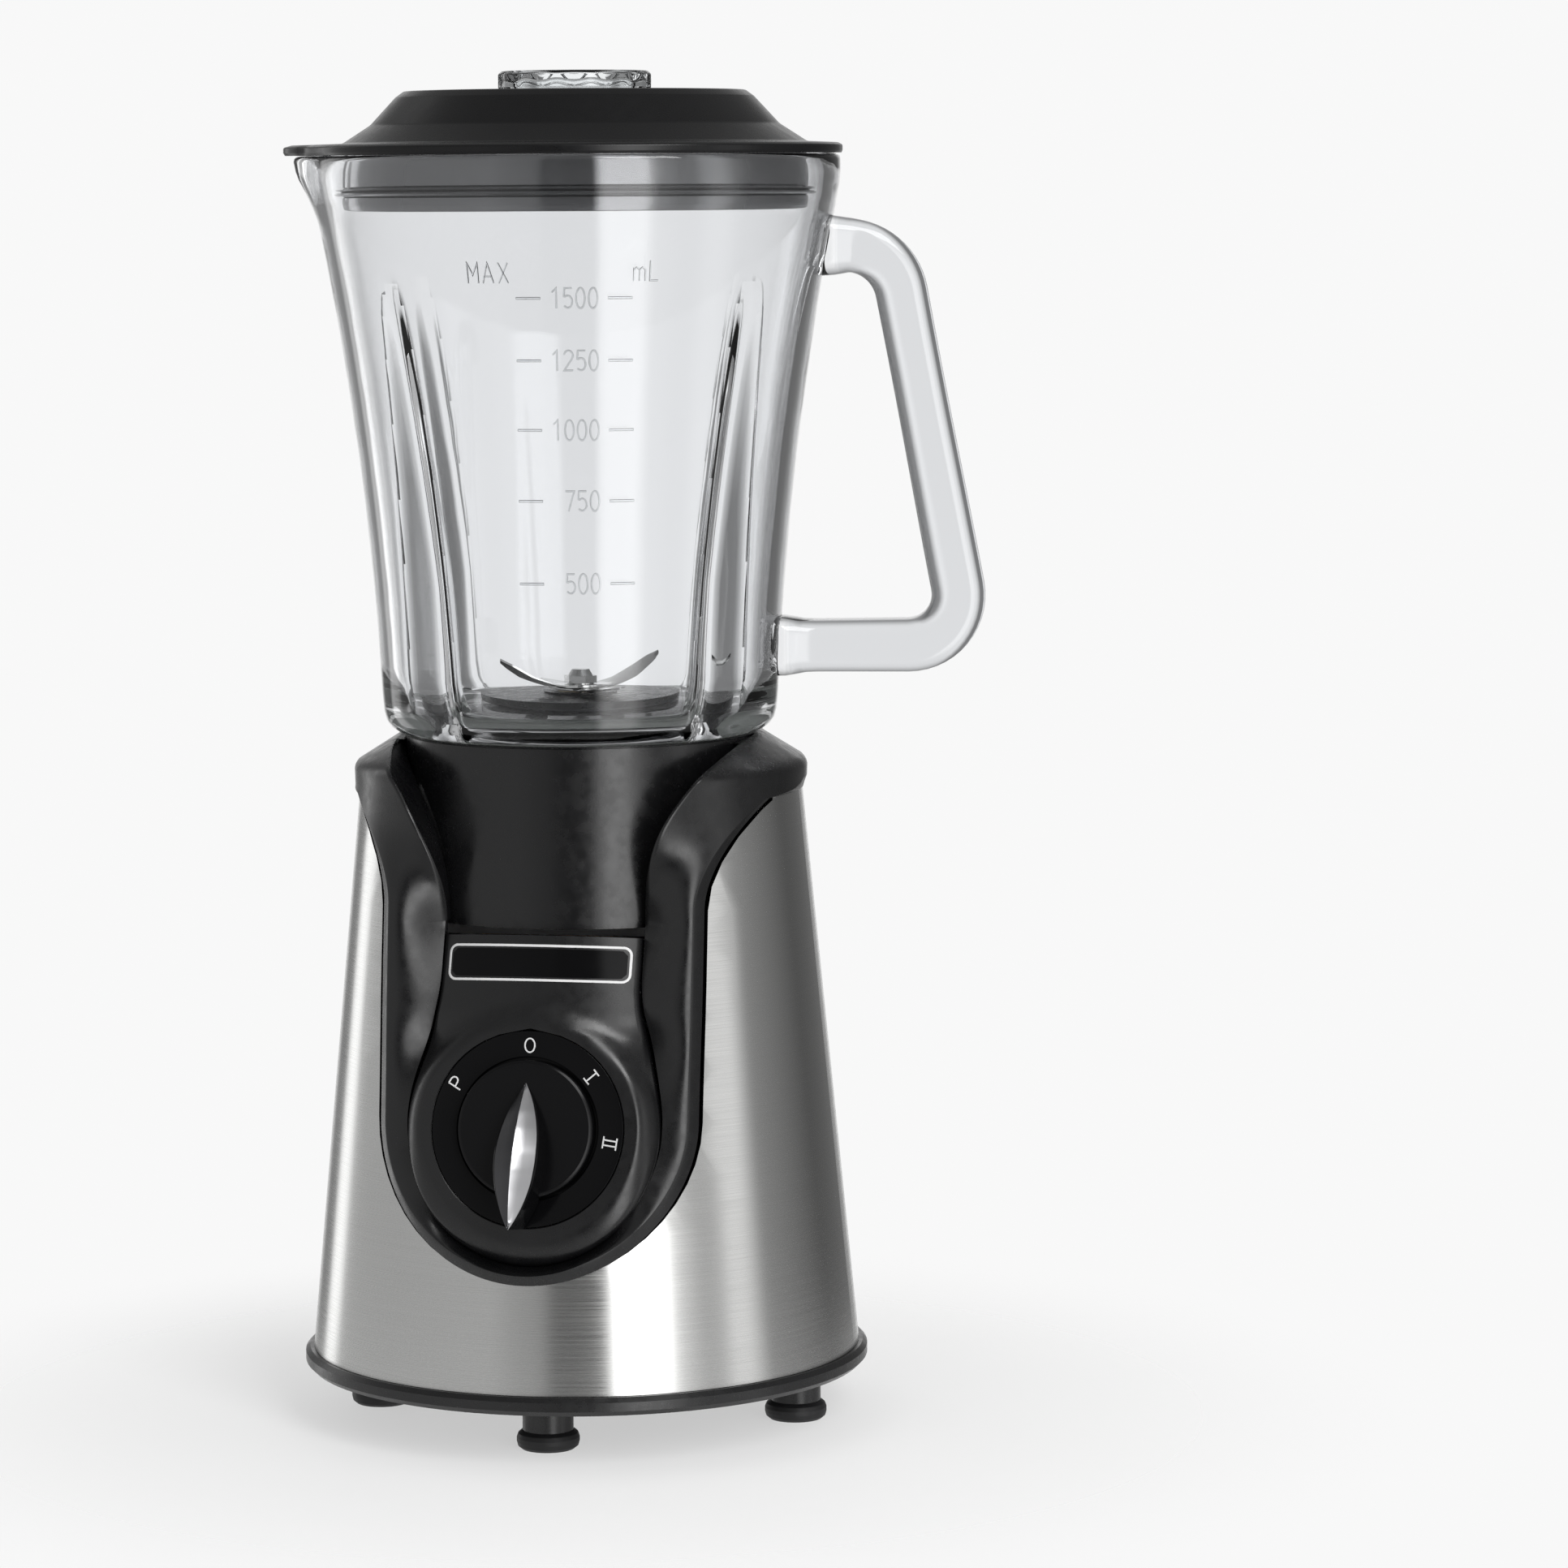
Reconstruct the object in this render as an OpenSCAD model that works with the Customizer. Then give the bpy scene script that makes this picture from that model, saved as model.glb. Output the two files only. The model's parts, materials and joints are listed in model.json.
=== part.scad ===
// Countertop blender: a motor base with a rotary switch and a lift-off glass jar
// with a blade unit, a lid and a measuring cap. Millimetres, +Z up, base front -Y.
// Origin: where the drive axis meets the table under the four feet.

/* [Base] */
// Radius of the steel wrap at its lower edge
wrap_r_low = 82; // [80:1:84]
// Radius of the steel wrap at its upper edge
wrap_r_high = 66; // [64:1:68]
// Height of the wrap's lower edge above the table
wrap_z_low = 22; // [20:1:24]
// Height of the wrap's upper edge
wrap_z_high = 189.4; // [189:0.1:189.8]
// Height of the deck that the jar stands on
deck_z = 206.3; // [206:0.1:208]
// Radius of the column under the jar
column_r = 52; // [50.5:0.5:52]
// Distance of the side feet from the axis
side_feet_r = 64; // [60:1:66]
// Distance of the front and back feet from the axis
end_feet_r = 51; // [50:1:56]
// Radius of the circle the base screws stand on
screw_ring_r = 70.5; // [70:0.5:71]

/* [Control panel] */
// Height of the dial's centre
dial_z = 98.4; // [97:0.1:100]
// Half width of the panel's round lower end
panel_r = 48; // [47:0.5:49]
// How far the dial's face leans back
dial_tilt = 10; // [8:1:12]
// Radius of the dial ring
dial_r = 28.4; // [27.6:0.2:28.8]
// Radius of the knob's disc
knob_r = 20; // [19:0.5:20.2]
// Height of the knob's fin above the panel
fin_h = 19; // [16:1:21]

/* [Jar] */
// Turn of the jar about the drive axis
jar_turn = 11; // [0:1:20]
// Thickness of the glass wall
glass_t = 4.6; // [4:0.1:5]
// Height of the jar's rim
rim_z = 377; // [376.5:0.5:378]
// Height of the floor inside the jar
floor_z = 211.5; // [211:0.1:212]
// Reach of the blades from the axis
blade_reach = 27; // [24:1:30]

/* [Lid] */
// Radius of the lid's flange
lid_r = 79; // [78.6:0.2:80]
// Height of the lid's flat top
lid_top_z = 396; // [395:0.5:397]
// Radius of the measuring cap
cap_r = 22.7; // [22:0.1:23]

/* [View] */
// Number of facets on a full circle
$fn = 96; // [48:12:144]

/* [Hidden] */

black = [0.05, 0.05, 0.055];
steel = [0.72, 0.72, 0.70];
dark_steel = [0.35, 0.35, 0.36];
copper = [0.72, 0.38, 0.2];
brass = [0.75, 0.6, 0.3];
rubber = [0.12, 0.12, 0.12];
clear = [0.8, 0.88, 0.9, 0.4];

foot_h = 5.5;
plate_z = 16.5;
plate_top_z = 19.5;
wrap_t = 0.8;
collar_r = 67.6;
arm_proud = 2.4;
groove_in = 5;
shell_t = 2;
step_z = 154.5;
bulb_r = 37.5;
panel_drop = 44.4;
front_y = -20;
far = 200;
cone_slope = (wrap_r_low - wrap_r_high) / (wrap_z_high - wrap_z_low);
dial_in = 2;
tongue_low_z = 120;
tongue_low_r = 69;
tongue_top_r = 57.5;
tongue_t = 3.5;
well_r = 38;
well_z = 172;
motor_z = 105;
bolt_x = 30;
bolt_y = 20;
shaft_r = 4;
run_gap = 0.05;
hub_z = 216;

// Outer radius of the steel wrap at height z.
function wrap_r(z) = wrap_r_low - cone_slope * (z - wrap_z_low);
// Smooth step from 0 to 1 over 0..1.
function smooth(t) = let (u = min(1, max(0, t))) u * u * (3 - 2 * u);
// Half widths of the panel's outline, of the recess between its arms and of its bulb.
function arm_out(z) = panel_r + 0.3 * smooth((z - dial_z) / 42)
                      + 15 * pow(max(0, z - 160) / 30, 1.8);
function arm_in(z) = 30 + 25 * pow(max(0, z - step_z) / 52, 2.2);
function bulb(z) = 29.4 + (bulb_r - 29.4) * (1 - smooth((z - dial_z) / 42));
// Outer radius of the leaning face above the dial at height z.
function tongue_r(z) = tongue_low_r
  + (tongue_top_r - tongue_low_r) * (z - tongue_low_z) / (step_z - 1 - tongue_low_z);
// Outer radius of the glass at height z.
function glass_r(z) = let (t = (z - 219) / 147) 59 + 7.2 * t + 11.5 * t * t;
// One end of a corner's arc and the arc's points, for the handle's outline.
function unit(v) = v / norm(v);
function corner(a, b, c, r, n = 8) =
  let (u = unit(a - b), v = unit(c - b), half = acos(u * v) / 2,
       o = b + unit(u + v) * r / sin(half), p = b + u * r / tan(half) - o,
       side = (u.x * v.y - u.y * v.x) > 0 ? -1 : 1)
  [for (i = [0:n]) let (w = side * (180 - 2 * half) * i / n)
    o + [p.x * cos(w) - p.y * sin(w), p.x * sin(w) + p.y * cos(w)]];

// Outline of the panel's round lower end and sides, shrunk by d, up to height top.
module panel_shape(d, top) {
  side = [for (i = [0:14]) let (z = dial_z + (top - dial_z) * i / 14) [arm_out(z) - d, z]];
  low = [for (a = [-90:7.5:-7.5]) [(panel_r - d) * cos(a), dial_z + (panel_drop - d) * sin(a)]];
  half = concat(low, side);
  polygon(concat(half, [for (i = [len(half) - 1:-1:1]) [-half[i].x, half[i].y]]));
}

// Outline of the bulb-shaped fascia, grown by d.
module bulb_shape(d, top = step_z) {
  side = [for (i = [0:8]) let (z = dial_z + (top - dial_z) * i / 8) [bulb(z) + d, z]];
  low = [for (a = [-90:10:-10]) [(bulb_r + d) * cos(a), dial_z + (bulb_r + d) * sin(a)]];
  half = concat(low, side);
  polygon(concat(half, [for (i = [len(half) - 1:-1:1]) [-half[i].x, half[i].y]]));
}

// Outline of the opening that the leaning face above the dial fills.
module tongue_opening() {
  side = [for (i = [0:7]) let (z = dial_z + 15 + (step_z + 1 - dial_z - 15) * i / 7) [bulb(z) + 0.1, z]];
  polygon(concat(side, [for (i = [7:-1:0]) [-side[i].x, side[i].y]]));
}

// Outline of the recess between the arms.
module recess_shape() {
  side = [for (i = [0:9]) let (z = step_z + (210 - step_z) * i / 9) [arm_in(z), z]];
  polygon(concat(side, [for (i = [9:-1:0]) [-side[i].x, side[i].y]]));
}

// Outline of the blank name plate above the dial, grown by d.
module badge_shape(d) {
  translate([-27 - d, 139.6 - d]) square([54 + 2 * d, 10.8 + 2 * d]);
}

// Runs an outline in X and Z forward from the front half's plane.
module forward() {
  translate([0, front_y, 0]) rotate([90, 0, 0]) linear_extrude(height = 90) children();
}

// Solid cone band that follows the wrap, from inner to outer offset.
module wrap_band(inner, outer, z0, z1) {
  rotate_extrude()
    polygon([[wrap_r(z0) + inner, z0], [wrap_r(z0) + outer, z0],
             [wrap_r(z1) + outer, z1], [wrap_r(z1) + inner, z1]]);
}

// Cone band along the leaning face above the dial, from inner to outer offset, up to height z1.
module tongue_band(inner, outer, z1) {
  z0 = tongue_low_z;
  rotate_extrude()
    polygon([[tongue_r(z0) + inner, z0], [tongue_r(z0) + outer, z0],
             [tongue_r(z1) + outer, z1], [tongue_r(z1) + inner, z1]]);
}

// Places children on the dial: their +Z comes straight out of the panel.
module at_dial() {
  translate([0, -wrap_r(dial_z), dial_z]) rotate([90 - dial_tilt, 0, 0]) children();
}

// A round tube.
module tube(ro, ri, z0, z1) {
  translate([0, 0, z0]) difference() {
    cylinder(r = ro, h = z1 - z0);
    translate([0, 0, -1]) cylinder(r = ri, h = z1 - z0 + 2);
  }
}

module rod(r, z0, z1) {
  translate([0, 0, z0]) cylinder(r = r, h = z1 - z0);
}

module ring_of(n, r, first = 0) {
  for (i = [0:n - 1]) rotate([0, 0, first + 360 * i / n]) translate([r, 0, 0]) children();
}

module at_feet() {
  for (x = [-side_feet_r, side_feet_r]) translate([x, 0, 0]) children();
  for (y = [-end_feet_r, end_feet_r]) translate([0, y, 0]) children();
}

module at_column_screws() {
  for (a = [30, 90, 150]) rotate([0, 0, a]) translate([56.3, 0, 0]) children();
}

module at_bolts() {
  for (x = [-bolt_x, bolt_x], y = [-bolt_y, bolt_y]) translate([x, y, 0]) children();
}

// ---- base shell ----
module rubber_feet() {
  color(rubber) at_feet() rotate_extrude()
    polygon([[0, 0], [7.8, 0], [8.9, 0.9], [9.25, 2.2], [9.25, 3.4], [8.8, 4.6], [7.7, foot_h],
             [3, foot_h], [3, foot_h + 4], [0, foot_h + 4]]);
}

module base_plate() {
  color(black) difference() {
    union() {
      rotate_extrude()
        polygon([[0, plate_z], [wrap_r_low + 1, plate_z], [wrap_r_low + 2.5, 18],
                 [wrap_r_low + 2.5, 20.6], [wrap_r_low + 1.2, 21.9], [wrap_r_low - 1.6, 21.9],
                 [wrap_r_low - 1.6, 28], [wrap_r_low - 3.4, 28], [wrap_r_low - 3.4, plate_top_z],
                 [0, plate_top_z]]);
      at_feet() rod(7.5, foot_h, plate_z + 1);
      ring_of(4, screw_ring_r, 45) rod(6, plate_top_z - 1, 31);
      ring_of(4, 50, 45) rod(6, plate_top_z - 1, 46);
    }
    at_feet() rod(3.05, 0, foot_h + 4.1);
    ring_of(4, screw_ring_r, 45) { rod(4.2, 0, 20); rod(2.2, 0, 40); }
    for (r = [16:8:40]) for (a = [0:90:270]) rotate([0, 0, a + 12])
      rotate_extrude(angle = 66) translate([r, plate_z - 1]) square([3.4, 6]);
  }
}

module base_screws() {
  color(dark_steel) ring_of(4, screw_ring_r, 45) {
    rod(2, 20, 44);
    difference() {
      rod(3.9, 18, 20.0);
      translate([-3, -0.4, 17]) cube([6, 0.8, 1.8]);
      translate([-0.4, -3, 17]) cube([0.8, 6, 1.8]);
    }
  }
}

module steel_wrap() {
  color(steel) difference() {
    wrap_band(-wrap_t, 0, wrap_z_low, wrap_z_high);
    forward() panel_shape(-0.3, 193);
    translate([0, 60, 38]) rotate([-90, 0, 0]) cylinder(r = 9.3, h = 40);
  }
}

module housing() {
  color(black) difference() {
    union() {
      difference() {
        union() {
          wrap_band(-wrap_t - 0.4 - shell_t, -wrap_t - 0.4, 31, 188);
          rotate_extrude() polygon([[53, 147.4], [wrap_r(147.4) - 2, 147.4],
                                    [wrap_r(150.4) - 2, 150.4], [53, 150.4]]);
        }
        forward() panel_shape(4, 200);
      }
      ring_of(4, screw_ring_r, 45) rod(7, 31.1, 52);
      rotate_extrude()
        polygon([[wrap_r(187) - 3, 186], [wrap_r(187) - 1.2, 186], [wrap_r(wrap_z_high) - 1.2, wrap_z_high + 0.1],
                 [66.9, wrap_z_high + 0.1], [collar_r, 191.5], [collar_r, 196.4],
                 [66.6, 198], [54.6, 205.7], [53.4, 206.1], [52.3, 206.1], [52.3, 203],
                 [62.5, 195], [wrap_r(187) - 3.4, 189]]);
      intersection() {
        rotate_extrude()
          polygon([[wrap_r(50) - 8, 50], [wrap_r(50) + arm_proud, 50], [collar_r - 0.3, 191],
                   [61.5, 199.8], [column_r + 0.3, 205], [column_r + 0.3, step_z],
                   [wrap_r(step_z) - 8, step_z]]);
        forward() panel_shape(0, 194);
      }
    }
    intersection() {
      wrap_band(-groove_in, 8, 50, step_z);
      forward() panel_shape(7, step_z + 1);
    }
    at_dial() rod(bulb_r + 0.5, -30, 14);
    forward() tongue_opening();
    forward() recess_shape();
    translate([0, 60, 38]) rotate([-90, 0, 0]) cylinder(r = 9.3, h = 40);
    ring_of(4, screw_ring_r, 45) rod(2.2, 20, 45);
    at_column_screws() rod(1.6, 140, 160);
  }
}

module neck_column() {
  color(black) difference() {
    union() {
      tube(column_r, column_r - 2.6, 153.2, deck_z - 0.6);
      rod(column_r - 0.8, deck_z - 3, deck_z);
      rod(well_r + 2, well_z, deck_z - 1);
      difference() {
        tube(60, column_r - 2.6, 150.4, 153.2);
        translate([-far / 2, -far - 34, 150]) cube([far, far, 3.3]);
      }
    }
    at_column_screws() rod(1.6, 150, 154);
    rod(well_r, well_z + 2.5, deck_z + 1);
    rod(8, well_z - 1, well_z + 4);
    tube(50, 42, deck_z - 1, deck_z + 1);
  }
}

module column_screws() {
  color(dark_steel) at_column_screws() {
    rod(1.5, 145, 153.2);
    difference() { rod(2.9, 153.2, 155); translate([-2.2, -0.3, 154.2]) cube([4.4, 0.6, 1]); }
  }
}

module seat_ring() {
  color(rubber) tube(49.8, 42.2, deck_z - 1, deck_z - 0.05);
}

module control_fascia() {
  color(black) difference() {
    union() {
      intersection() {
        tongue_band(-tongue_t, 0, step_z - 1);
        forward() bulb_shape(0, step_z - 1);
      }
      at_dial() rotate_extrude()
        polygon([[0, -dial_in - 4.4], [dial_r + 1, -dial_in - 4.4], [bulb_r - 3, -14],
                 [bulb_r - 0.4, -14], [bulb_r - 0.4, -8], [34.5, -4.4], [31.5, -2.6],
                 [dial_r + 0.6, -dial_in], [0, -dial_in]]);
    }
    at_dial() {
      rod(dial_r, -dial_in - 0.8, 3);
      rod(knob_r + 0.7, -dial_in - 2.4, 1);
      rod(3.5, -20, 1);
    }
    intersection() {
      tongue_band(-1.4, 5, step_z);
      forward() badge_shape(0.1);
    }
  }
}

module dial_ring() {
  color(black) at_dial() tube(dial_r - 0.2, knob_r + 0.8, -dial_in - 0.8, -dial_in);
}

module badge_plate() {
  color([0.2, 0.2, 0.21]) intersection() {
    tongue_band(-1.3, 0.2, step_z);
    forward() badge_shape(0);
  }
}

module cord_gland() {
  color(rubber) translate([0, wrap_r(38), 38]) rotate([-90, 0, 0]) difference() {
    union() {
      translate([0, 0, -9]) cylinder(r = 9, h = 10);
      translate([0, 0, 1]) cylinder(r1 = 11.5, r2 = 10.5, h = 2.5);
      translate([0, 0, -9]) cylinder(r = 11.5, h = 3);
    }
    translate([0, 0, -10]) cylinder(r = 3.6, h = 20);
  }
}

// ---- switch and knob ----
module rotary_switch() {
  color([0.85, 0.83, 0.78]) at_dial() difference() {
    union() {
      translate([-14, -14, -30]) cube([28, 28, 20]);
      rod(6, -10.5, -dial_in - 4.4);
      for (x = [-9, 0, 9]) translate([x - 2.4, -0.4, -38]) cube([4.8, 0.8, 9]);
    }
    rod(3 + run_gap, -24, 0);
  }
}

module switch_spindle() {
  color(dark_steel) at_dial() rod(3, -23.5, 6);
}

module knob_fin_side(low, high) {
  rotate([90, 0, 90]) linear_extrude(height = 20, center = true)
    polygon([[-29, low], [-29, high - 0.6], [-20, high], [-10, high - 1.2], [-2, high - 4.4],
             [5, high - 9], [10, high - 13.6], [13.6, high - 18], [13.6, low]]);
}

// Pointed oval that the knob's fin has in plan, shrunk by d.
module leaf(d) {
  intersection() {
    translate([31.2, -7.7, -5]) cylinder(r = 37.7 - d, h = 40);
    translate([-31.2, -7.7, -5]) cylinder(r = 37.7 - d, h = 40);
  }
}

module knob() {
  color(black) at_dial() difference() {
    union() {
      rod(knob_r, -dial_in - 2, 1.5);
      intersection() { leaf(0); knob_fin_side(-0.8, fin_h - 1.6); }
    }
    rod(3 + run_gap, -10, 6.1);
  }
}

module knob_grip() {
  color([0.6, 0.6, 0.6]) at_dial() intersection() {
    leaf(0.5);
    difference() { knob_fin_side(1, fin_h); knob_fin_side(-3, fin_h - 1.6); }
  }
}

// ---- motor ----
module motor_chassis() {
  color(black) difference() {
    union() {
      rod(60, 46, 49);
      tube(58, 55.5, 48, 54);
    }
    rod(22, 40, 50);
    ring_of(12, 46) rod(5, 40, 50);
  }
}

module rubber_mounts() {
  color(rubber) for (x = [-bolt_x, bolt_x], y = [-8, 8]) translate([x, y, 0]) rod(5, 49, 58);
}

module stator_core() {
  color(dark_steel) difference() {
    intersection() {
      translate([-35, -29, motor_z - 15]) cube([70, 58, 30]);
      rod(40, motor_z - 15, motor_z + 15);
    }
    rod(19.5, 80, 130);
    for (s = [-1, 1], t = [-1, 1]) translate([s * 23.5 - 2.8, t * 16 - 3.3, 80]) cube([5.6, 6.6, 60]);
    at_bolts() rod(2.2, 80, 130);
  }
}

module field_coils() {
  color(copper) for (s = [-1, 1]) translate([s * 23.5, 0, motor_z]) difference() {
    cube([5, 38, 46], center = true);
    cube([9, 26, 33], center = true);
  }
}

module lower_bracket() {
  color([0.7, 0.7, 0.7]) difference() {
    union() {
      translate([-36, -26, 58]) cube([72, 52, 4]);
      rod(12, 52, 62);
      at_bolts() rod(3.9, 61, motor_z - 15);
    }
    rod(8, 50.6, 60.5);
    rod(5.5, 50, 63);
    at_bolts() rod(2.2, 50, 100);
    rod(33.5, 63, 79);
  }
}

module upper_bracket() {
  color([0.7, 0.7, 0.7]) difference() {
    union() {
      translate([-36, -26, 148]) cube([72, 52, 3]);
      rod(12, 148, 160);
      at_bolts() rod(3.9, motor_z + 15, 149);
    }
    rod(8, 151.5, 161);
    rod(5.5, 140, 161);
    at_bolts() rod(2.2, 110, 155);
  }
}

module bearings() {
  color(steel) for (z = [52.5, 151.5]) tube(7.95, shaft_r + run_gap, z, z + 8);
}

module brush_holders() {
  color(brass) for (s = [0, 180]) rotate([0, 0, s]) difference() {
    translate([13.5, -5, 134]) cube([18, 10, 14]);
    translate([12, -3.1, 135.9]) cube([18, 6.2, 8.2]);
  }
}

module carbon_brushes() {
  color([0.15, 0.15, 0.15]) for (s = [0, 180]) rotate([0, 0, s]) translate([11.4, -3, 136])
    cube([16, 6, 8]);
}

module motor_bolts() {
  color(dark_steel) at_bolts() {
    rod(2, 57.9, 154);
    difference() { rod(3.8, 54.5, 57.9); translate([-3, -0.4, 54]) cube([6, 0.8, 1.5]); }
    translate([0, 0, 151.1]) rotate([0, 0, 30]) cylinder(r = 4, h = 3, $fn = 6);
  }
}

module motor_shaft() {
  color(steel) rod(shaft_r, 50, 180);
}

module armature() {
  color([0.6, 0.35, 0.2]) difference() {
    union() {
      rod(18.8, motor_z - 15, motor_z + 15);
      rod(15.5, motor_z - 24, motor_z + 24);
    }
    rod(shaft_r, 70, 140);
    ring_of(12, 18.8) rod(1.2, 70, 140);
  }
}

module commutator() {
  color(copper) difference() {
    rod(11, 131, 146.5);
    rod(shaft_r, 130, 150);
    for (a = [0:15:165]) rotate([0, 0, a]) translate([-12, -0.3, 134]) {
      translate([21.5, 0, 0]) cube([3, 0.6, 14]);
      cube([2.5, 0.6, 14]);
    }
  }
}

module fan() {
  color([0.15, 0.15, 0.16]) difference() {
    union() {
      rod(31, 65, 66.6);
      rod(9, 65, 76);
      for (a = [0:30:330]) rotate([0, 0, a]) translate([11, -0.7, 66]) rotate([0, 0, 14])
        cube([20, 1.4, 10]);
    }
    rod(shaft_r, 60, 80);
  }
}

// Six-dog half coupling between heights z0 and z1, its dogs on the tip side.
module dogs(z0, z1, width, first) {
  for (a = [0:60:300]) rotate([0, 0, first + a - width / 2])
    rotate_extrude(angle = width) translate([7, z0]) square([6.5, z1 - z0]);
}

module drive_coupling() {
  color(rubber) difference() {
    union() {
      rod(14, 176.2, 182);
      rod(7.4, 174.8, 176.4);
      dogs(181.5, 188.6, 26, 0);
    }
    rod(shaft_r, 170, 180);
  }
}

// ---- jar ----
module ribs() {
  for (a = [48, 132, 228, 312]) rotate([0, 0, a - 90]) rotate([90, 0, 0])
    linear_extrude(height = 7, center = true)
      polygon([[glass_r(342) - 4, 342], [glass_r(318) - 7.2, 318], [glass_r(270) - 9.4, 270],
               [glass_r(219) - 12, 222], [glass_r(219) - 15, 213], [glass_r(219) - 15, 210],
               [glass_r(219) - 2, 210], [glass_r(219) - 2, 219], [glass_r(270) - 2, 270],
               [glass_r(342) - 2, 342]]);
}

module handle() {
  a = [62, 358]; b = [98, 358]; c = [126, 223.5]; d = [54, 223.5];
  e = [54, 239]; f = [106.8, 239]; g = [87.4, 342]; h = [62, 342];
  rotate([90, 0, 0]) linear_extrude(height = 18, center = true)
    polygon(concat([a], corner(a, b, c, 13), corner(b, c, d, 18), [d, e],
                   corner(e, f, g, 7), corner(f, g, h, 7), [h]));
}

// Cone that pours out of the rim, grown by the lip's thickness for its outside.
module spout(grow, low, top) {
  translate([-68, 0, low]) cylinder(r1 = 1 + grow, r2 = 11.5 + grow, h = top - low);
}

module glass_jar() {
  n = 15;
  zs = [for (i = [0:n]) 219 + (368 - 219) * i / n];
  color(clear) rotate([0, 0, jar_turn]) difference() {
    union() {
      rotate_extrude() polygon(concat(
        [[0, deck_z + 0.6], [42.2, deck_z + 0.6], [42.2, deck_z], [50, deck_z],
         [54.6, deck_z + 1], [57.4, 209.8], [58.6, 214]],
        [for (z = zs) [glass_r(z), z]],
        [[78.4, 371], [78.4, rim_z - 1], [77.4, rim_z], [0, rim_z]]));
      handle();
      spout(3.6, 360, rim_z);
    }
    rotate_extrude() polygon(concat(
      [[0, floor_z], [51, floor_z], [glass_r(219) - 5.6, 219]],
      [for (i = [1:n]) [glass_r(zs[i]) - glass_t, zs[i]]],
      [[73.8, 371], [74.4, rim_z + 1], [0, rim_z + 1]]));
    spout(0, 362, rim_z + 0.4);
    rod(24, 200, 220);
  }
  color(clear) rotate([0, 0, jar_turn]) intersection() {
    ribs();
    rotate_extrude() polygon([[24.5, floor_z - 0.5], [glass_r(219) - 2, floor_z - 0.5],
                              [glass_r(350) - 2, 350], [24.5, 350]]);
  }
}

module blade_carrier() {
  color(black) difference() {
    union() {
      rod(30, floor_z + 0.8, floor_z + 3.4);
      rod(11, floor_z + 3, floor_z + 4.2);
      tube(23.8, 20.5, 199, floor_z + 1);
      rod(11, 198, floor_z + 1);
    }
    rod(7, 197, 216);
    tube(20.6, 10.9, 197, 209.5);
  }
}

module carrier_seal() {
  color(rubber) tube(29.6, 24.2, floor_z, floor_z + 0.8);
}

module carrier_nut() {
  color(black) difference() {
    tube(34, 23.9, 199.5, deck_z + 0.5);
    ring_of(16, 35) rod(2, 190, 210);
  }
}

module blade_bush() {
  color(brass) tube(6.95, shaft_r + run_gap, 198, hub_z - 0.6);
}

module blade_shaft() {
  color(steel) { rod(shaft_r, 190, hub_z + 3.6); rod(2.5, hub_z + 3.5, hub_z + 7.6); }
}

// A pair of blades: flat hub at height z, arms that rise to the tips.
module blade_pair(z, reach, rise, t) {
  difference() {
    intersection() {
      union() for (s = [0, 180]) rotate([0, 0, s]) rotate([90, 0, 0])
        linear_extrude(height = 14, center = true)
          polygon([[0, z], [9.5, z], [reach, z + rise], [reach, z + rise + t],
                   [8.6, z + t], [0, z + t]]);
      linear_extrude(height = 400)
        polygon([[reach, 3.4], [9, 6.6], [-9, 6.6], [-reach, -0.6], [-reach, -3.4],
                 [-9, -6.6], [9, -6.6], [reach, 0.6]]);
    }
    rod(shaft_r + run_gap, z - 1, z + t + 1);
  }
}

module lower_blades() {
  color(steel) rotate([0, 0, jar_turn + 118]) blade_pair(hub_z + 0.1, 25, 3, 1.5);
}

module upper_blades() {
  color(steel) rotate([0, 0, jar_turn + 28]) blade_pair(hub_z + 1.8, blade_reach, 10, 1.5);
}

module blade_nut() {
  color(steel) difference() {
    union() {
      translate([0, 0, hub_z + 3.7]) cylinder(r = 5, h = 3.2, $fn = 6);
      translate([0, 0, hub_z + 6.4]) cylinder(r1 = 4, r2 = 2.6, h = 2.4);
    }
    rod(2.55, hub_z + 3, hub_z + 7.7);
  }
}

module driven_coupling() {
  color(rubber) difference() {
    union() {
      rod(14, 189.4, 196.5);
      dogs(182.8, 190, 28, 30);
    }
    rod(shaft_r, 189.9, 197);
  }
}

// ---- lid and cap ----
module lid() {
  hole_r = 20.4;
  color(black) {
    rotate_extrude()
      polygon([[lid_r, rim_z + 0.1], [lid_r, rim_z + 3], [lid_r - 0.6, rim_z + 3.5],
               [68.4, rim_z + 3.9], [60.2, rim_z + 9.4], [52.6, lid_top_z - 1.6],
               [50.6, lid_top_z - 0.3], [49, lid_top_z], [hole_r, lid_top_z],
               [hole_r, 373], [hole_r + 2, 373], [hole_r + 2, lid_top_z - 2.6],
               [49.4, lid_top_z - 2.6], [58.8, rim_z + 6.8], [66.6, rim_z + 1.4],
               [66.6, 361], [69, 361], [69, 365.4], [68.2, 365.4], [68.2, 368.6],
               [69, 368.6], [69, rim_z + 0.1]]);
    rotate([0, 0, jar_turn]) difference() {
      translate([-71, 0, rim_z + 0.1]) cylinder(r = 15.5, h = 3.2);
      rod(lid_r - 9, rim_z - 1, rim_z + 5);
    }
  }
}

module lid_seal() {
  color([0.2, 0.2, 0.2]) rotate_extrude()
    polygon([[68.25, 365.5], [70.6, 365.9], [71.2, 366.4], [70.6, 366.9], [69.2, 367.2],
             [70.6, 367.6], [71, 367.9], [70.4, 368.3], [68.25, 368.5]]);
}

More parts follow.
